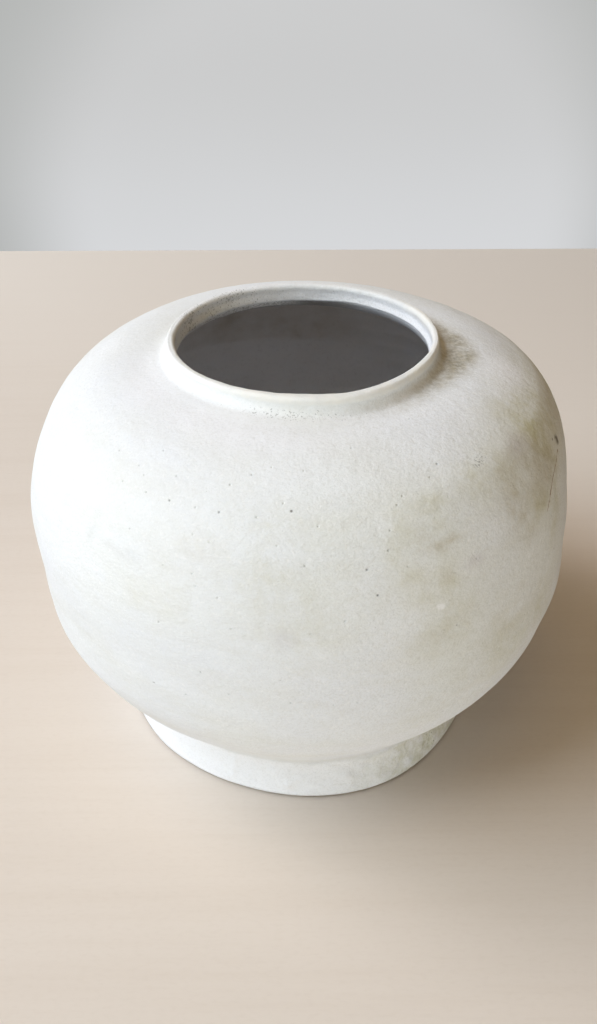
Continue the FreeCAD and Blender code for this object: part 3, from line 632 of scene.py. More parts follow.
# the hollow at the foot of the neck: dark on the right, fading round the front
hollow = (0.85 * blob(caz, cr, -6.0, 63.5, 14.0, 5.6) + 0.50 * blob(caz, cr, 5.0, 66.0, 10.0, 5.0) + 0.45 * blob(caz, cr, -20.0, 62.0, 12.0, 5.0)
          + 0.45 * blob(caz, cr, -5.0, 70.0, 7.0, 3.2) + 0.17 * blob(caz, cr, -36.0, 60.5, 14.0, 4.2) + 0.16 * blob(caz, cr, -56.0, 60.5, 18.0, 4.5)
          + 0.30 * blob(caz, cr, 20.0, 62.0, 13.0, 4.0) + 0.14 * blob(caz, cr, 120.0, 63.0, 40.0, 4.0))
hollow *= sstep(176.5, 178.5, cz) * (1 - sstep(183.4, 185.4, cz)) * (cr > 54.8)
hollow = 1.1 * np.tanh(hollow / 1.1)
hollow *= np.clip(0.95 + 0.55 * med + 0.55 * small, 0.1, 1.6)
# the foot's slip is whiter and thicker, with a ragged limit; greenish on the right
foot_top = 20.0 + 2.4 * fbm(np.stack([cx, cy, cz * 0], -1), 10.0, 3, 95)
foot_w = (1 - sstep(-1.0, 1.2, cz - foot_top))
foot_green = sstep(-82, -50, caz) * (1 - sstep(30, 70, caz)) * (1 - sstep(18, 23, cz)) * np.clip(0.75 + 0.8 * small + 0.8 * med, 0, 1.2)
# lip: cream and worn; a thin brown line along its inner edge
s_in = arc[row_at(MOUTH, SPRING)]
top_lip = sstep(184.2, 185.8, cz) * (cr < 60)
wear = top_lip * np.clip(0.9 + 0.5 * med + 0.5 * small, 0.2, 1.2) * (1 - 0.75 * np.maximum(sstep(20, 45, caz), sstep(-125, -150, caz)))
rim = np.exp(-((carc - s_in + 0.45 + 0.35 * small) / 0.50) ** 2) * np.clip(0.65 + 0.9 * small + 0.8 * med, 0.0, 1.2) * (cr < 53.5) * (1 - sstep(-8, 12, caz) * (1 - sstep(164, 178, caz)))
# inside of the neck: dark grains, most on the left, and at the ragged edge. The left of the inner wall is turned from
# the light: the extra specks and grey there are partly painted shade, and the whitening of the inside, kept lower
# there, is partly whiter slip and partly painted light
over = sstep(92, 112, caz) * (1 - sstep(160, 176, caz))
inside = (cr < 53.4 + 0.7 * over) * (1 - (1 - over) * sstep(185.6, 186.6, cz)) * (cz > 178)
grime_and_shade = inside * (0.08 + 0.62 * np.exp(-(angdiff(caz, 152.0) / 34.0) ** 2) + 0.25 * np.exp(-(angdiff(caz, 96.0) / 20.0) ** 2))
grime_and_shade *= np.clip(0.85 + 1.0 * med + 0.7 * small, 0.15, 1.5)
left_inner_shade = np.exp(-(angdiff(caz, 140.0) / 38.0) ** 2)
grains_and_shade = inside * (0.12 + 0.58 * left_inner_shade) * np.clip(1.0 + 0.7 * med + 0.5 * small, 0.2, 1.6)
pale_and_painted_light += inside * (0.85 - 0.20 * left_inner_shade)
# two patches on the right shoulder: a cluster of dark dashes, small shadows of grains (painted shade)
grains_and_shade += 0.40 * hollow + patches([(61.6, -72.3, 172.0, 6.5, 3.0, 0.75), (66.0, -66.0, 172.5, 4.0, 2.5, 0.35)])
# a band of specks under the lip's front edge: painted shadow cast by the lip, with a grainy look
under_lip_shadow = 0.30 * blob(caz, cr, -95.0, 58.5, 30.0, 3.4) * sstep(180, 181, cz) * (1 - sstep(183.5, 185, cz))
grains_and_shade += under_lip_shadow * 2.4
# grey rubbed marks on the left
smudge = patches([(-75.6, -82.0, 150.6, 1.9, 5.0, 0.55), (-67.6, -89.6, 148.8, 4.2, 1.6, 0.55), (-60.5, -94.9, 148.0, 3.2, 2.2, 0.50),
                  (-64.0, -92.4, 147.0, 3.0, 1.2, 0.35), (-88.0, -80.0, 100.0, 9.0, 1.6, 0.18), (-80.0, -86.0, 108.0, 8.0, 1.4, 0.14),
                  (60.0, 98.0, 120.0, 6.0, 1.6, 0.35), (-20.0, 112.0, 96.0, 8.0, 1.5, 0.25)])
smudge *= np.clip(0.8 + 1.3 * small, 0, 1.6)

for name_, value in (("olive", olive * (1 - 0.75 * pale_and_painted_light)), ("brown", brown + hollow * 0.85), ("green", foot_green), ("violet", violet),
                     ("pale_and_painted_light", pale_and_painted_light), ("foot", foot_w), ("wear", wear), ("rim", rim), ("grains_and_shade", grains_and_shade), ("grime_and_shade", grime_and_shade), ("smudge", smudge * 0.45)):
    set_attr(coat, name_, np.clip(value, 0, 1.3) * outer_v)
set_attr(coat, "hollow", np.clip(hollow, 0, 1.2) * outer_v)
# the grain of the slip is quieter on the left
set_attr(coat, "sand", 0.50 + 0.50 * sstep(-45, 50, cx))
set_attr(coat, "pit", cinfo["pit_shade"])

# ---------------------------------------------------------------------------
# The other layers and pieces
# ---------------------------------------------------------------------------


def glaze_fine(P, N, I):
    z = P[:, 2]
    d = 0.16 * np.sin(2 * np.pi * (z + 1.2 * fbm(P, 50.0, 2, 301)) / 8.5) + 0.08 * fbm(P, 7.0, 3, 303)
    on = (I >= n_glaze_out).astype(float)
    return d * on * sstep(22, 34, z) * (1 - sstep(172, 178, z))


glaze_out = [
    ((0.0, FLOOR), None, 20.0), (I2, (FCOVE, 1), 8.0), (I1, None, 8.0), (low_in, up("low", BIG), 8.0),
    (at("girth", BIG), up("girth", BIG), 8.0), (at("side", BIG), up("side", BIG), 8.0),
    (at("shoulder", BIG), up("shoulder", BIG), 6.0), (at("crown", BIG), up("crown", BIG), 6.0), (brow_in, (ER, -1), 2.0)]
glaze_in = [
    (E, None, 0.5), (C1, (GR, 1), 0.8), (brow_g, down("crown", ALL), 1.8), (at("crown", ALL), down("shoulder", ALL), 1.8),
    (at("shoulder", ALL), down("side", ALL), 2.0), (at("side", ALL), down("girth", ALL), 2.0), (at("girth", ALL), down("low", ALL), 2.0),
    (at("low", ALL), None, 2.0), (I1g, (FCOVE - GLAZE, -1), 2.0), (I2g, None, 3.0), ((0.0, FLOOR + GLAZE), None)]
n_glaze_out = len(trace(glaze_out + [(E, None)], 1.0, closed=False)) - 1
glaze_sec = trace(glaze_out + glaze_in, 1.0, closed=False)
lining, ginfo = turned("glaze_lining", glaze_sec, 256, closed=False, fine=glaze_fine)
gb = ginfo["base"]
gaz = np.degrees(np.arctan2(gb[:, 1], gb[:, 0]))
gmed = fbm(gb, 16.0, 4, 311)
# brownish above a nearly level line, clear below it
line = 134.5 + 0.05 * (gaz - 95.0) + 0.8 * fbm(gb, 20.0, 3, 313)
patch = sstep(-1.4, 1.6, gb[:, 2] - line) * (1 - sstep(156, 166, gb[:, 2]))
patch *= np.clip(blob(gaz, gb[:, 2], 112.0, 146.0, 13.0, 30.0) + 0.9 * blob(gaz, gb[:, 2], 86.0, 147.0, 11.0, 30.0), 0, 1)
patch *= np.clip(0.85 + 0.9 * gmed, 0, 1.3)
set_attr(lining, "patch", np.clip(patch, 0, 1))
ragged = 177.4 + 0.7 * fbm(gb, 5.0, 2, 315)
set_attr(lining, "slipped", sstep(-0.6, 0.6, gb[:, 2] - ragged) * sstep(84, 104, gaz))
set_attr(lining, "cool", sstep(80.0, 50.0, gaz) * (gb[:, 2] > 90))

lower, linfo = turned("bowl_lower", trace([
    ((0.0, BASE), None, 3.0), (B0, None, 5.0), (at("low", COAT), up("low", COAT), 5.0), (WLo, None, 1.5), (WLm, None, 1.5),
    (WLi, down("low", BIG), 5.0), (low_in, None, 5.0), (I1, (FCOVE, -1), 5.0), (I2, None, 10.0), ((0.0, FLOOR), None)],
    3.0, closed=False), 192)

upper, _ = turned("bowl_upper", trace([
    (WUo, up("low", COAT), 5.0), (at("girth", COAT), up("girth", COAT), 5.0), (at("side", COAT), up("side", COAT), 5.0),
    (at("shoulder", COAT), up("shoulder", COAT), 4.0), (at("crown", COAT), up("crown", COAT), 4.0), (brow_c, None, 2.0),
    (BS, (ER, 1), 2.0), (brow_in, down("crown", BIG), 4.0), (at("crown", BIG), down("shoulder", BIG), 4.0),
    (at("shoulder", BIG), down("side", BIG), 5.0), (at("side", BIG), down("girth", BIG), 5.0),
    (at("girth", BIG), down("low", BIG), 5.0), (WUi, None, 1.5), (WUm, None, 1.5)], 3.0), 192)

waist, _ = turned("waist_slip", trace([
    (WLo, up("low", COAT), 0.6), (WUo, None, 1.2), (WUm, None, 1.2), (WUi, down("low", BIG), 0.6), (WLi, None, 1.2), (WLm, None, 1.2)],
    1.0), 192)

collar, _ = turned("collar", trace([
    (E, (ER, 1), 1.5), (BI, None, 2.0), (BO, None, 2.0), (K0c, (NCOVE + COAT, -1), 1.2), (K1c, None, 1.0),
    (L0c, (LIP - COAT, 1), 0.8), (LTc, (LIP - COAT, 1), 0.8), (L1c, None, 1.5)], 1.0), 192)

neck_slip, _ = turned("collar_slip", trace([(BI, (ER, 1), 0.5), (BS, None, 1.5), (brow_c, None, 0.5), (BO, None, 1.5)], 1.0), 192)


def foot_fine(P, N, I):
    z = P[:, 2]
    r = np.hypot(P[:, 0], P[:, 1])
    inner = (r < 76.6).astype(float)
    return -0.10 * np.abs(fbm(P, 3.5, 3, 401)) * (z > 0.4) * inner - 0.06 * np.abs(fbm(P, 2.5, 2, 403)) * (z < 0.3) * 0


foot, finfo = turned("foot", trace([
    ((REST_IN, 0.0), None, 1.3), ((REST_OUT, 0.0), None, 0.6), (F0c, None, 2.0), (FT, None, 2.5), ((FOOT_IN, TOP), None, 1.3),
    ((BEV_R, BEV_Z), None, 0.6)], 1.5), 384, fine=foot_fine)

foot_slip, _ = turned("foot_slip", trace([
    ((FOOT_IN, TOP), None, 2.0), (FT, None, 1.5), (F1c, (FOOT_FILL, -1), 1.5), (G, None, 2.0), (B0, None, 2.0), ((FOOT_IN, BASE), None, 0.6)],
    1.5), 256)

# ---------------------------------------------------------------------------
# Materials
# ---------------------------------------------------------------------------


def lin(c):
    """sRGB 0..255 to linear 0..1."""
    out = []
    for v in c:
        v /= 255.0
        out.append(v / 12.92 if v <= 0.04045 else ((v + 0.055) / 1.055) ** 2.4)
    return (*out, 1.0)


class Nodes:
    """Small helper for building one material's node tree."""

    def __init__(self, name):
        self.mat = bpy.data.materials.new(name)
        self.mat.use_nodes = True
        self.t = self.mat.node_tree
        self.t.nodes.clear()
        self.out = self.t.nodes.new("ShaderNodeOutputMaterial")
        self.bsdf = self.t.nodes.new("ShaderNodeBsdfPrincipled")
        self.t.links.new(self.bsdf.outputs[0], self.out.inputs[0])
        self.co = self.t.nodes.new("ShaderNodeTexCoord").outputs["Object"]
        self.kept = {}

    def _set(self, sock, v):
        if isinstance(v, bpy.types.NodeSocket):
            self.t.links.new(v, sock)
        else:
            sock.default_value = v

    def attr(self, name):
        n = self.t.nodes.new("ShaderNodeAttribute")
        n.attribute_name = name
        return n.outputs["Fac"]

    def noise(self, scale, detail=3.0, rough=0.55, stretch=None, w=None, distort=0.0):
        n = self.t.nodes.new("ShaderNodeTexNoise")
        n.inputs["Scale"].default_value = scale
        n.inputs["Detail"].default_value = detail
        n.inputs["Roughness"].default_value = rough
        n.inputs["Distortion"].default_value = distort
        v = self.co
        if stretch is not None or w is not None:
            m = self.t.nodes.new("ShaderNodeMapping")
            m.inputs["Scale"].default_value = stretch or (1, 1, 1)
            m.inputs["Location"].default_value = w or (0, 0, 0)
            self.t.links.new(v, m.inputs[0])
            v = m.outputs[0]
        self.t.links.new(v, n.inputs["Vector"])
        return n.outputs["Fac"]

    def cells(self, scale, feature="F1"):
        n = self.t.nodes.new("ShaderNodeTexVoronoi")
        n.feature = feature
        n.inputs["Scale"].default_value = scale
        self.t.links.new(self.co, n.inputs["Vector"])
        return n

    def ramp(self, v, a, b, lo=0.0, hi=1.0, smooth=True):
        n = self.t.nodes.new("ShaderNodeMapRange")
        n.interpolation_type = "SMOOTHSTEP" if smooth else "LINEAR"
        n.clamp = True
        self._set(n.inputs["Value"], v)
        n.inputs["From Min"].default_value = a
        n.inputs["From Max"].default_value = b
        n.inputs["To Min"].default_value = lo
        n.inputs["To Max"].default_value = hi
        return n.outputs["Result"]

    def math(self, op, a, b=None, clamp=False):
        n = self.t.nodes.new("ShaderNodeMath")
        n.operation = op
        n.use_clamp = clamp
        self._set(n.inputs[0], a)
        if b is not None:
            self._set(n.inputs[1], b)
        return n.outputs[0]

    def mix(self, fac, a, b, mode="MIX"):
        n = self.t.nodes.new("ShaderNodeMix")
        n.data_type = "RGBA"
        n.blend_type = mode
        n.clamp_factor = True
        self._set(n.inputs["Factor"], fac)
        self._set(n.inputs[6], a)
        self._set(n.inputs[7], b)
        return n.outputs[2]

    def bump(self, height, strength, distance, normal=None):
        n = self.t.nodes.new("ShaderNodeBump")
        n.inputs["Strength"].default_value = strength
        n.inputs["Distance"].default_value = distance
        self.t.links.new(height, n.inputs["Height"])
        if normal is not None:
            self.t.links.new(normal, n.inputs["Normal"])
        return n.outputs["Normal"]

    def vec(self, op, a, b=None, scale=None):
        n = self.t.nodes.new("ShaderNodeVectorMath")
        n.operation = op
        for k, v in ((0, a), (1, b), (3, scale)):
            if v is None:
                continue
            if isinstance(v, bpy.types.NodeSocket):
                self.t.links.new(v, n.inputs[k])
            else:
                n.inputs[k].default_value = v
        return n.outputs["Value"] if op in ("LENGTH", "DISTANCE", "DOT_PRODUCT") else n.outputs["Vector"]

    def shaken(self, amount, scale=380.0):
        """Object coordinates moved about by a little noise (metres)."""
        key = (amount, scale)
        if key not in self.kept:
            n = self.t.nodes.new("ShaderNodeTexNoise")
            n.inputs["Scale"].default_value = scale
            n.inputs["Detail"].default_value = 2.0
            self.t.links.new(self.co, n.inputs["Vector"])
            off = self.vec("SUBTRACT", n.outputs["Color"], (0.5, 0.5, 0.5))
            self.kept[key] = self.vec("ADD", self.co, self.vec("SCALE", off, None, amount))
        return self.kept[key]

    def near(self, point, radius, shake):
        """1 at a point (mm), 0 beyond radius (mm), with a ragged edge."""
        d = self.vec("DISTANCE", self.shaken(shake), [v * 0.001 for v in point])
        return self.ramp(d, radius * 0.0004, radius * 0.001, 1.0, 0.0)

    def segment(self, p, q, radius, shake):
        """1 on the straight line p to q (mm), 0 beyond radius (mm)."""
        a = [v * 0.001 for v in p]
        ab = [(v - u) * 0.001 for u, v in zip(p, q)]
        rel = self.vec("SUBTRACT", self.shaken(shake, 260.0), a)
        t = self.math("DIVIDE", self.vec("DOT_PRODUCT", rel, ab), sum(v * v for v in ab), True)
        d = self.vec("LENGTH", self.vec("SUBTRACT", rel, self.vec("SCALE", ab, None, t)))
        return self.ramp(d, radius * 0.0005, radius * 0.0014, 1.0, 0.0)


def surface_point(az, z):
    """Point of the finished coat, mm, at an azimuth and a height."""
    i = row_at_height(z)
    a = math.radians(az)
    p = np.array([[sec[i, 0] * math.cos(a), sec[i, 0] * math.sin(a), sec[i, 1]]])
    return (p + field(p))[0]


def slip_material():
    m = Nodes("white_slip")
    base = m.mix(m.ramp(m.noise(14, 4), 0.35, 0.68), (0.830, 0.846, 0.838, 1), (0.816, 0.833, 0.856, 1))
    # cloudy unevenness of the slip's thickness, and long level wiping
    base = m.mix(m.math("MULTIPLY", m.ramp(m.noise(34, 5, 0.62, (0.55, 0.55, 1.7)), 0.42, 0.72), 0.45), base, (0.755, 0.750, 0.690, 1))
    base = m.mix(m.math("MULTIPLY", m.ramp(m.noise(90, 4, 0.6, (0.25, 0.25, 1.6)), 0.5, 0.8), 0.30), base, (0.750, 0.750, 0.710, 1))
    # whiter, thicker slip on the foot
    base = m.mix(m.math("MULTIPLY", m.attr("foot"), 0.95), base, (0.935, 0.940, 0.945, 1))
    # whiter patches: partly whiter slip, partly painted light
    base = m.mix(m.math("MULTIPLY", m.attr("pale_and_painted_light"), 0.85), base, (0.925, 0.935, 0.955, 1))
    # sandy grain of the matt surface: dark and light specks
    base = m.mix(m.math("MULTIPLY", m.math("MULTIPLY", m.ramp(m.noise(1300, 2, 0.6), 0.48, 0.66), 0.26), m.attr("sand")), base, (0.60, 0.60, 0.58, 1))
    base = m.mix(m.math("MULTIPLY", m.math("MULTIPLY", m.ramp(m.noise(640, 3, 0.65, None, (3.1, 1.7, 0.4)), 0.52, 0.70), 0.26), m.attr("sand")), base, (0.66, 0.64, 0.58, 1))
    base = m.mix(m.math("MULTIPLY", m.ramp(m.noise(760, 3, 0.65, None, (1.1, 0.7, 2.4)), 0.54, 0.70), 0.45), base, (0.92, 0.92, 0.91, 1))
    # stains, broken up by noise at several scales
    broken = m.ramp(m.math("ADD", m.noise(300, 4, 0.65), m.math("MULTIPLY", m.noise(75, 3), 0.8)), 0.60, 1.15, 0.62, 1.20)
    base = m.mix(m.math("MULTIPLY", m.attr("olive"), broken, True), base, (0.565, 0.535, 0.365, 1))
    base = m.mix(m.math("MULTIPLY", m.attr("violet"), broken, True), base, (0.500, 0.455, 0.480, 1))
    brown = m.math("MULTIPLY", m.attr("brown"), m.ramp(m.noise(210, 4, 0.7, None, (0.2, 5.0, 1.0)), 0.35, 0.68, 0.55, 1.25), True)
    base = m.mix(brown, base, (0.430, 0.365, 0.225, 1))
    base = m.mix(m.math("MULTIPLY", m.attr("hollow"), m.ramp(m.noise(520, 3, 0.7), 0.35, 0.65, 0.2, 1.0), True), base, (0.330, 0.305, 0.245, 1))
    base = m.mix(m.math("MULTIPLY", m.attr("green"), m.ramp(m.noise(300, 4, 0.7, None, (0.7, 2.0, 3.0)), 0.32, 0.68, 0.30, 0.9), True), base, (0.690, 0.685, 0.560, 1))
    base = m.mix(m.math("MULTIPLY", m.attr("smudge"), broken, True), base, (0.400, 0.400, 0.395, 1))
    base = m.mix(m.math("MULTIPLY", m.attr("wear"), m.ramp(m.noise(300, 4, 0.6, None, (4.0, 2.0, 1.0)), 0.3, 0.62, 0.6, 1.0), True), base, (0.880, 0.865, 0.815, 1))
    # separate dark specks: grain where the slip is thin, and painted shade on the left of the neck's inside, under the
    # lip's front edge and in small grain shadows on the right shoulder
    gr = m.noise(1150, 2, 0.6, None, (2.0, 0.3, 1.0))
    level = m.math("SUBTRACT", 0.74, m.math("MULTIPLY", m.attr("grains_and_shade"), 0.30))
    speck = m.ramp(m.math("SUBTRACT", gr, level), 0.0, 0.09)
    # greying inside the neck, strongest on its left: grime and painted shade
    grime_and_shade = m.math("MULTIPLY", m.attr("grime_and_shade"), m.ramp(m.noise(620, 4, 0.75, None, (5.0, 1.0, 2.0)), 0.36, 0.66, 0.25, 1.1), True)
    base = m.mix(m.math("MULTIPLY", grime_and_shade, 0.12), base, (0.400, 0.400, 0.395, 1))
    base = m.mix(m.math("MULTIPLY", speck, 0.55), base, (0.250, 0.245, 0.235, 1))
    base = m.mix(m.math("MULTIPLY", m.attr("rim"), 0.70, True), base, (0.300, 0.240, 0.160, 1))
    # dark bottoms of the pinholes: painted shade in the pits
    base = m.mix(m.math("MULTIPLY", m.attr("pit"), 0.70, True), base, (0.070, 0.065, 0.060, 1))
    # single marks on the right: a dark spot, a thin brown crack, two white flecks
    crack = None
    line = [(-22.5, 157.8), (-24.6, 156.0), (-28.5, 153.4), (-31.6, 149.2), (-34.2, 144.2)]
    for (a0, z0), (a1, z1) in zip(line[:-1], line[1:]):
        p, q = surface_point(a0, z0), surface_point(a1, z1)
        seg_ = m.segment(p, q, 0.30 if z0 > 150 else 0.48, 0.0011)
        crack = seg_ if crack is None else m.math("MAXIMUM", crack, seg_)
    crack = m.math("MULTIPLY", crack, m.ramp(m.noise(420, 3, 0.6, None, (0.4, 0.9, 6.0)), 0.36, 0.52, 0.15, 1.0), True)
    base = m.mix(m.math("MULTIPLY", crack, 0.80), base, (0.300, 0.165, 0.075, 1))
    spot = m.math("MULTIPLY", m.near(surface_point(-20.6, 159.8), 3.1, 0.0024), m.ramp(m.noise(520, 3, 0.7), 0.36, 0.56, 0.30, 1.0), True)
    base = m.mix(m.math("MULTIPLY", spot, 0.85), base, (0.150, 0.125, 0.095, 1))
    spot2 = m.near(surface_point(-23.0, 161.2), 0.8, 0.0012)
    base = m.mix(m.math("MULTIPLY", spot2, 0.60), base, (0.170, 0.130, 0.100, 1))
    star = m.near(surface_point(-65.4, 134.1), 2.1, 0.0024)
    base = m.mix(m.math("MULTIPLY", star, 0.85), base, (0.930, 0.930, 0.930, 1))
    flake = m.math("MULTIPLY", m.near(surface_point(-42.0, 135.6), 3.0, 0.003), m.ramp(m.noise(600, 2, 0.5), 0.5, 0.6), True)
    base = m.mix(m.math("MULTIPLY", flake, 0.80), base, (0.930, 0.935, 0.940, 1))
    m._set(m.bsdf.inputs["Base Color"], base)
    m._set(m.bsdf.inputs["Roughness"], m.ramp(m.noise(200, 3), 0.3, 0.7, 0.80, 0.94))
    m.bsdf.inputs["Specular IOR Level"].default_value = 0.18
    h = m.math("ADD", m.math("MULTIPLY", m.noise(950, 3, 0.65), 0.55), m.noise(430, 3, 0.6, (0.8, 0.8, 1.2)))
    h = m.math("ADD", h, m.math("MULTIPLY", m.noise(180, 3, 0.6, (0.6, 0.6, 1.3)), 1.4))
    # the foot's slip stands up in crumbs and drags
    crumbs = m.math("ADD", m.math("MULTIPLY", m.ramp(m.noise(240, 2, 0.5, None, (0.3, 0.9, 0.2)), 0.58, 0.72), m.attr("green")), m.noise(110, 3, 0.6, (1.0, 1.0, 0.6)))
    h = m.math("ADD", h, m.math("MULTIPLY", m.math("MULTIPLY", crumbs, m.attr("foot")), 1.1))
    n = m.bump(h, 0.75, 0.00035)
    n = m.bump(m.math("SUBTRACT", 0.0, m.math("ADD", crack, spot)), 0.5, 0.0003, n)
    m._set(m.bsdf.inputs["Normal"], n)
    return m.mat


def glaze_material():
    m = Nodes("inner_glaze")
    base = m.mix(m.ramp(m.noise(25, 4), 0.3, 0.7), (0.850, 0.836, 0.830, 1), (0.870, 0.860, 0.858, 1))
    up_ = m.t.nodes.new("ShaderNodeSeparateXYZ")
    m.t.links.new(m.co, up_.inputs[0])
    # greyer higher up and dark just under the mouth: painted shade under the shoulder, where the inside is turned from
    # the light
    base = m.mix(m.ramp(up_.outputs["Z"], 0.118, 0.165), base, (0.735, 0.712, 0.695, 1))
    base = m.mix(m.ramp(up_.outputs["Z"], 0.1620, 0.1735), base, (0.280, 0.268, 0.256, 1))
    grit = m.ramp(m.noise(1100, 2, 0.6), 0.38, 0.56)
    base = m.mix(m.attr("slipped"), base, m.mix(grit, (0.520, 0.510, 0.490, 1), (0.860, 0.860, 0.850, 1)))
    base = m.mix(m.math("MULTIPLY", m.ramp(m.noise(500, 4, 0.7), 0.5, 0.75), 0.35), base, (0.600, 0.585, 0.570, 1))
    patch = m.math("MULTIPLY", m.attr("patch"), m.ramp(m.noise(60, 4, 0.6), 0.35, 0.65, 0.5, 1.1), True)
    base = m.mix(m.math("MULTIPLY", patch, 0.62), base, (0.420, 0.350, 0.260, 1))
    base = m.mix(m.math("MULTIPLY", m.attr("cool"), 0.5), base, (0.720, 0.750, 0.800, 1))
    m._set(m.bsdf.inputs["Base Color"], base)
    m._set(m.bsdf.inputs["Roughness"], m.ramp(m.noise(120, 3), 0.3, 0.7, 0.45, 0.60))
    m.bsdf.inputs["Specular IOR Level"].default_value = 0.3
    m._set(m.bsdf.inputs["Normal"], m.bump(m.noise(300, 3), 0.25, 0.0003))
    return m.mat


def clay_material(name, a, b, fleck):
    m = Nodes(name)
    base = m.mix(m.ramp(m.noise(30, 4), 0.3, 0.7), lin(a), lin(b))
    base = m.mix(m.math("MULTIPLY", m.ramp(m.noise(700, 3, 0.7), 0.55, 0.72), 0.6), base, lin(fleck))
    v = m.cells(320)
    grog = m.math("MULTIPLY", m.ramp(v.outputs["Distance"], 0.12, 0.25, 1.0, 0.0), m.ramp(v.outputs["Color"], 0.72, 0.76), True)
    base = m.mix(m.math("MULTIPLY", grog, 0.8), base, lin((232, 224, 206)))
    m._set(m.bsdf.inputs["Base Color"], base)
    m._set(m.bsdf.inputs["Roughness"], m.ramp(m.noise(200, 3), 0.3, 0.7, 0.82, 0.95))
    m.bsdf.inputs["Specular IOR Level"].default_value = 0.2
    h = m.math("ADD", m.math("MULTIPLY", m.noise(800, 4, 0.7), 0.5), m.math("MULTIPLY", m.noise(260, 3, 0.6), 0.7))
    m._set(m.bsdf.inputs["Normal"], m.bump(h, 0.6, 0.0003))
    return m.mat


slip_m = slip_material()
glaze_m = glaze_material()
clay_m = clay_material("stoneware", (150, 138, 120), (166, 154, 136), (108, 98, 84))
lute_m = clay_material("luting_slip", (186, 178, 162), (200, 193, 178), (140, 130, 114))

for piece, node, mat, slot in (
        (coat, "outer_slip_coat", slip_m, "white_slip"), (lining, "inner_glaze_coat", glaze_m, "inner_glaze"),
        (lower, "lower_bowl", clay_m, "stoneware"), (upper, "upper_bowl", clay_m, "stoneware"),
        (waist, "waist_luting_slip", lute_m, "luting_slip"), (collar, "neck_collar", clay_m, "stoneware"),
        (neck_slip, "neck_luting_slip", lute_m, "luting_slip"), (foot, "foot_ring", clay_m, "stoneware"),
        (foot_slip, "foot_luting_slip", lute_m, "luting_slip")):
    piece.data.materials.append(mat)
    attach(piece, "root")
    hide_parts(node)

# ---------------------------------------------------------------------------
# Stage: pale floor, a glowing backdrop behind it (painted light), soft light from the left
# ---------------------------------------------------------------------------


def floor_material():
    m = Nodes("floor")
    base = m.mix(m.ramp(m.noise(3.0, 3), 0.3, 0.7), (0.728, 0.650, 0.568, 1), (0.743, 0.665, 0.585, 1))
    base = m.mix(m.math("MULTIPLY", m.ramp(m.noise(16, 6, 0.65, (0.14, 3.0, 1)), 0.4, 0.75), 0.30), base, (0.668, 0.577, 0.486, 1))
    base = m.mix(m.math("MULTIPLY", m.ramp(m.noise(60, 5, 0.7, (0.12, 3.0, 1)), 0.45, 0.75), 0.16), base, (0.650, 0.560, 0.471, 1))
    base = m.mix(m.math("MULTIPLY", m.ramp(m.noise(420, 3, 0.6, (0.6, 1.6, 1)), 0.45, 0.75), 0.16), base, (0.630, 0.545, 0.458, 1))
    # the sheet is a little paler towards the back on the right: painted light where the lamps leave the floor darker
    xyz = m.t.nodes.new("ShaderNodeSeparateXYZ")
    m.t.links.new(m.co, xyz.inputs[0])
    painted_light_back = m.ramp(m.math("ADD", xyz.outputs["Y"], m.math("MULTIPLY", xyz.outputs["X"], 0.5)), 0.05, 0.40)
    base = m.mix(m.math("MULTIPLY", painted_light_back, 0.85), base, (0.790, 0.722, 0.645, 1))
    m._set(m.bsdf.inputs["Base Color"], base)
    m.bsdf.inputs["Roughness"].default_value = 0.85
    m.bsdf.inputs["Specular IOR Level"].default_value = 0.1
    return m.mat


def wall_material():
    """Pale backdrop that glows: painted light, as of a paper sweep lit from behind, brightest low in the middle, dimmer
    and warmer further out.
    """
    m = Nodes("backdrop")
    base = m.mix(m.ramp(m.noise(2.0, 3), 0.3, 0.7), (0.040, 0.040, 0.040, 1), (0.055, 0.055, 0.055, 1))
    m._set(m.bsdf.inputs["Base Color"], base)
    m.bsdf.inputs["Roughness"].default_value = 0.95
    m.bsdf.inputs["Specular IOR Level"].default_value = 0.0
    xyz = m.t.nodes.new("ShaderNodeSeparateXYZ")
    m.t.links.new(m.co, xyz.inputs[0])
    glow = m.mix(m.ramp(xyz.outputs["Z"], -0.13, 0.16), (0.665, 0.675, 0.690, 1), (0.575, 0.578, 0.580, 1))
    far = m.vec("LENGTH", m.vec("MULTIPLY", m.vec("SUBTRACT", m.co, (0.03, 0.9, -0.05)), (0.9, 0.0, 1.0)))
    glow = m.mix(m.ramp(far, 0.28, 0.47), glow, (0.430, 0.440, 0.432, 1))
    glow = m.mix(m.ramp(far, 0.52, 0.75), glow, (0.215, 0.150, 0.100, 1))
    m._set(m.bsdf.inputs["Emission Color"], glow)
    m.bsdf.inputs["Emission Strength"].default_value = 1.0
    return m.mat


def sheet_mesh(name, corners, mat):
    mesh = bpy.data.meshes.new(name)
    mesh.from_pydata(corners, [], [(0, 1, 2, 3)])
    mesh.materials.append(mat)
    o = bpy.data.objects.new(name, mesh)
    bpy.context.scene.collection.objects.link(o)
    return o


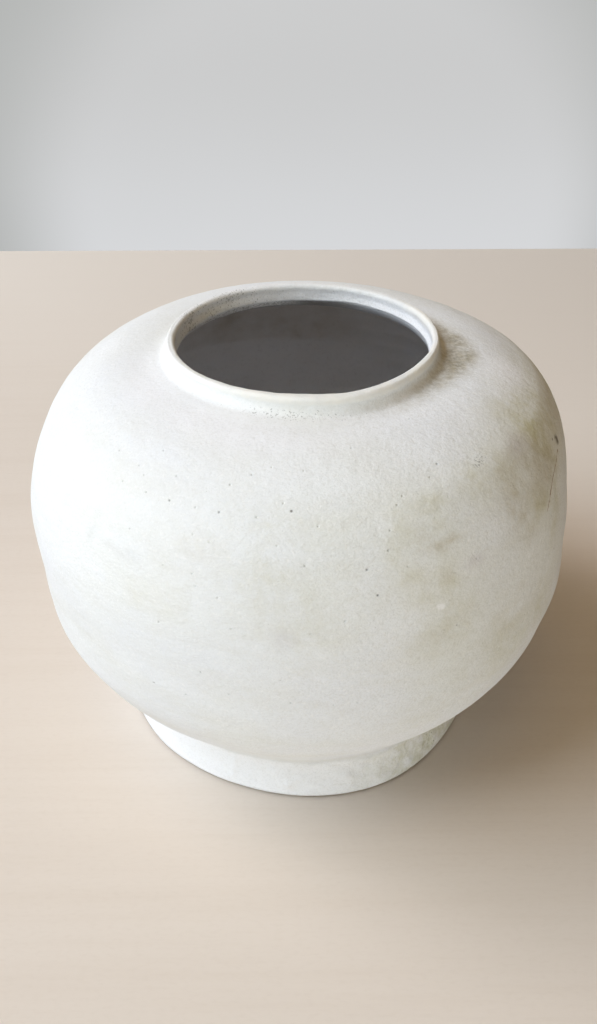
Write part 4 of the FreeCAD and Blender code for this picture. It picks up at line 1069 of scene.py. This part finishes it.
sheet_mesh("floor", [(-2.5, -2.5, 0), (2.5, -2.5, 0), (2.5, 0.627, 0), (-2.5, 0.627, 0)], floor_material())
sheet_mesh("backdrop", [(-3.5, 0.9, -0.6), (3.5, 0.9, -0.6), (3.5, 0.9, 2.4), (-3.5, 0.9, 2.4)], wall_material())


def area_light(name, place, target, size_x, size_y, power, color):
    d = bpy.data.lights.new(name, "AREA")
    d.shape = "RECTANGLE"
    d.size, d.size_y = size_x, size_y
    d.energy = power
    d.color = color
    o = bpy.data.objects.new(name, d)
    bpy.context.scene.collection.objects.link(o)
    o.location = place
    o.rotation_euler = (Vector(target) - Vector(place)).to_track_quat("-Z", "Y").to_euler()
    return o


def aimed(name, azimuth, elevation, power, color, size=0.95, away=1.7, lift=0.08, tall=None):
    a, e = math.radians(azimuth), math.radians(elevation)
    place = (away * math.cos(e) * math.cos(a), away * math.cos(e) * math.sin(a), lift + away * math.sin(e))
    return area_light(name, place, (0.0, 0.0, 0.08), size, tall or size, power, color)


# two soft window panes on the left, a low front fill, and weak warm light
# thrown back by the room on the right and by the ceiling
aimed("window_back", 154, 42, 37.8, (0.98, 0.97, 1.02), size=1.15, away=2.5, tall=1.7)
aimed("window_front", 194, 46, 43.6, (0.80, 0.91, 1.035), size=1.4, away=2.5)
aimed("front", 264, 5, 11.5, (0.93, 0.98, 0.99), lift=0.10, tall=0.42)
aimed("return", 338, 8, 1.7, (1.0, 0.76, 0.36), lift=0.10, tall=0.42)
aimed("ceiling", 240, 76, 4.6, (1.0, 0.70, 0.30), size=0.9)

world = bpy.data.worlds.new("world")
bpy.context.scene.world = world
world.use_nodes = True
bg = world.node_tree.nodes["Background"]
bg.inputs[0].default_value = (1.0, 0.82, 0.64, 1.0)
bg.inputs[1].default_value = 0.02

bpy.context.scene.view_settings.view_transform = "Standard"
bpy.context.scene.view_settings.look = "None"

print("piece triangles", {o.name: sum(len(p.vertices) - 2 for p in o.data.polygons) for o in (coat, lining, lower, upper, foot)})
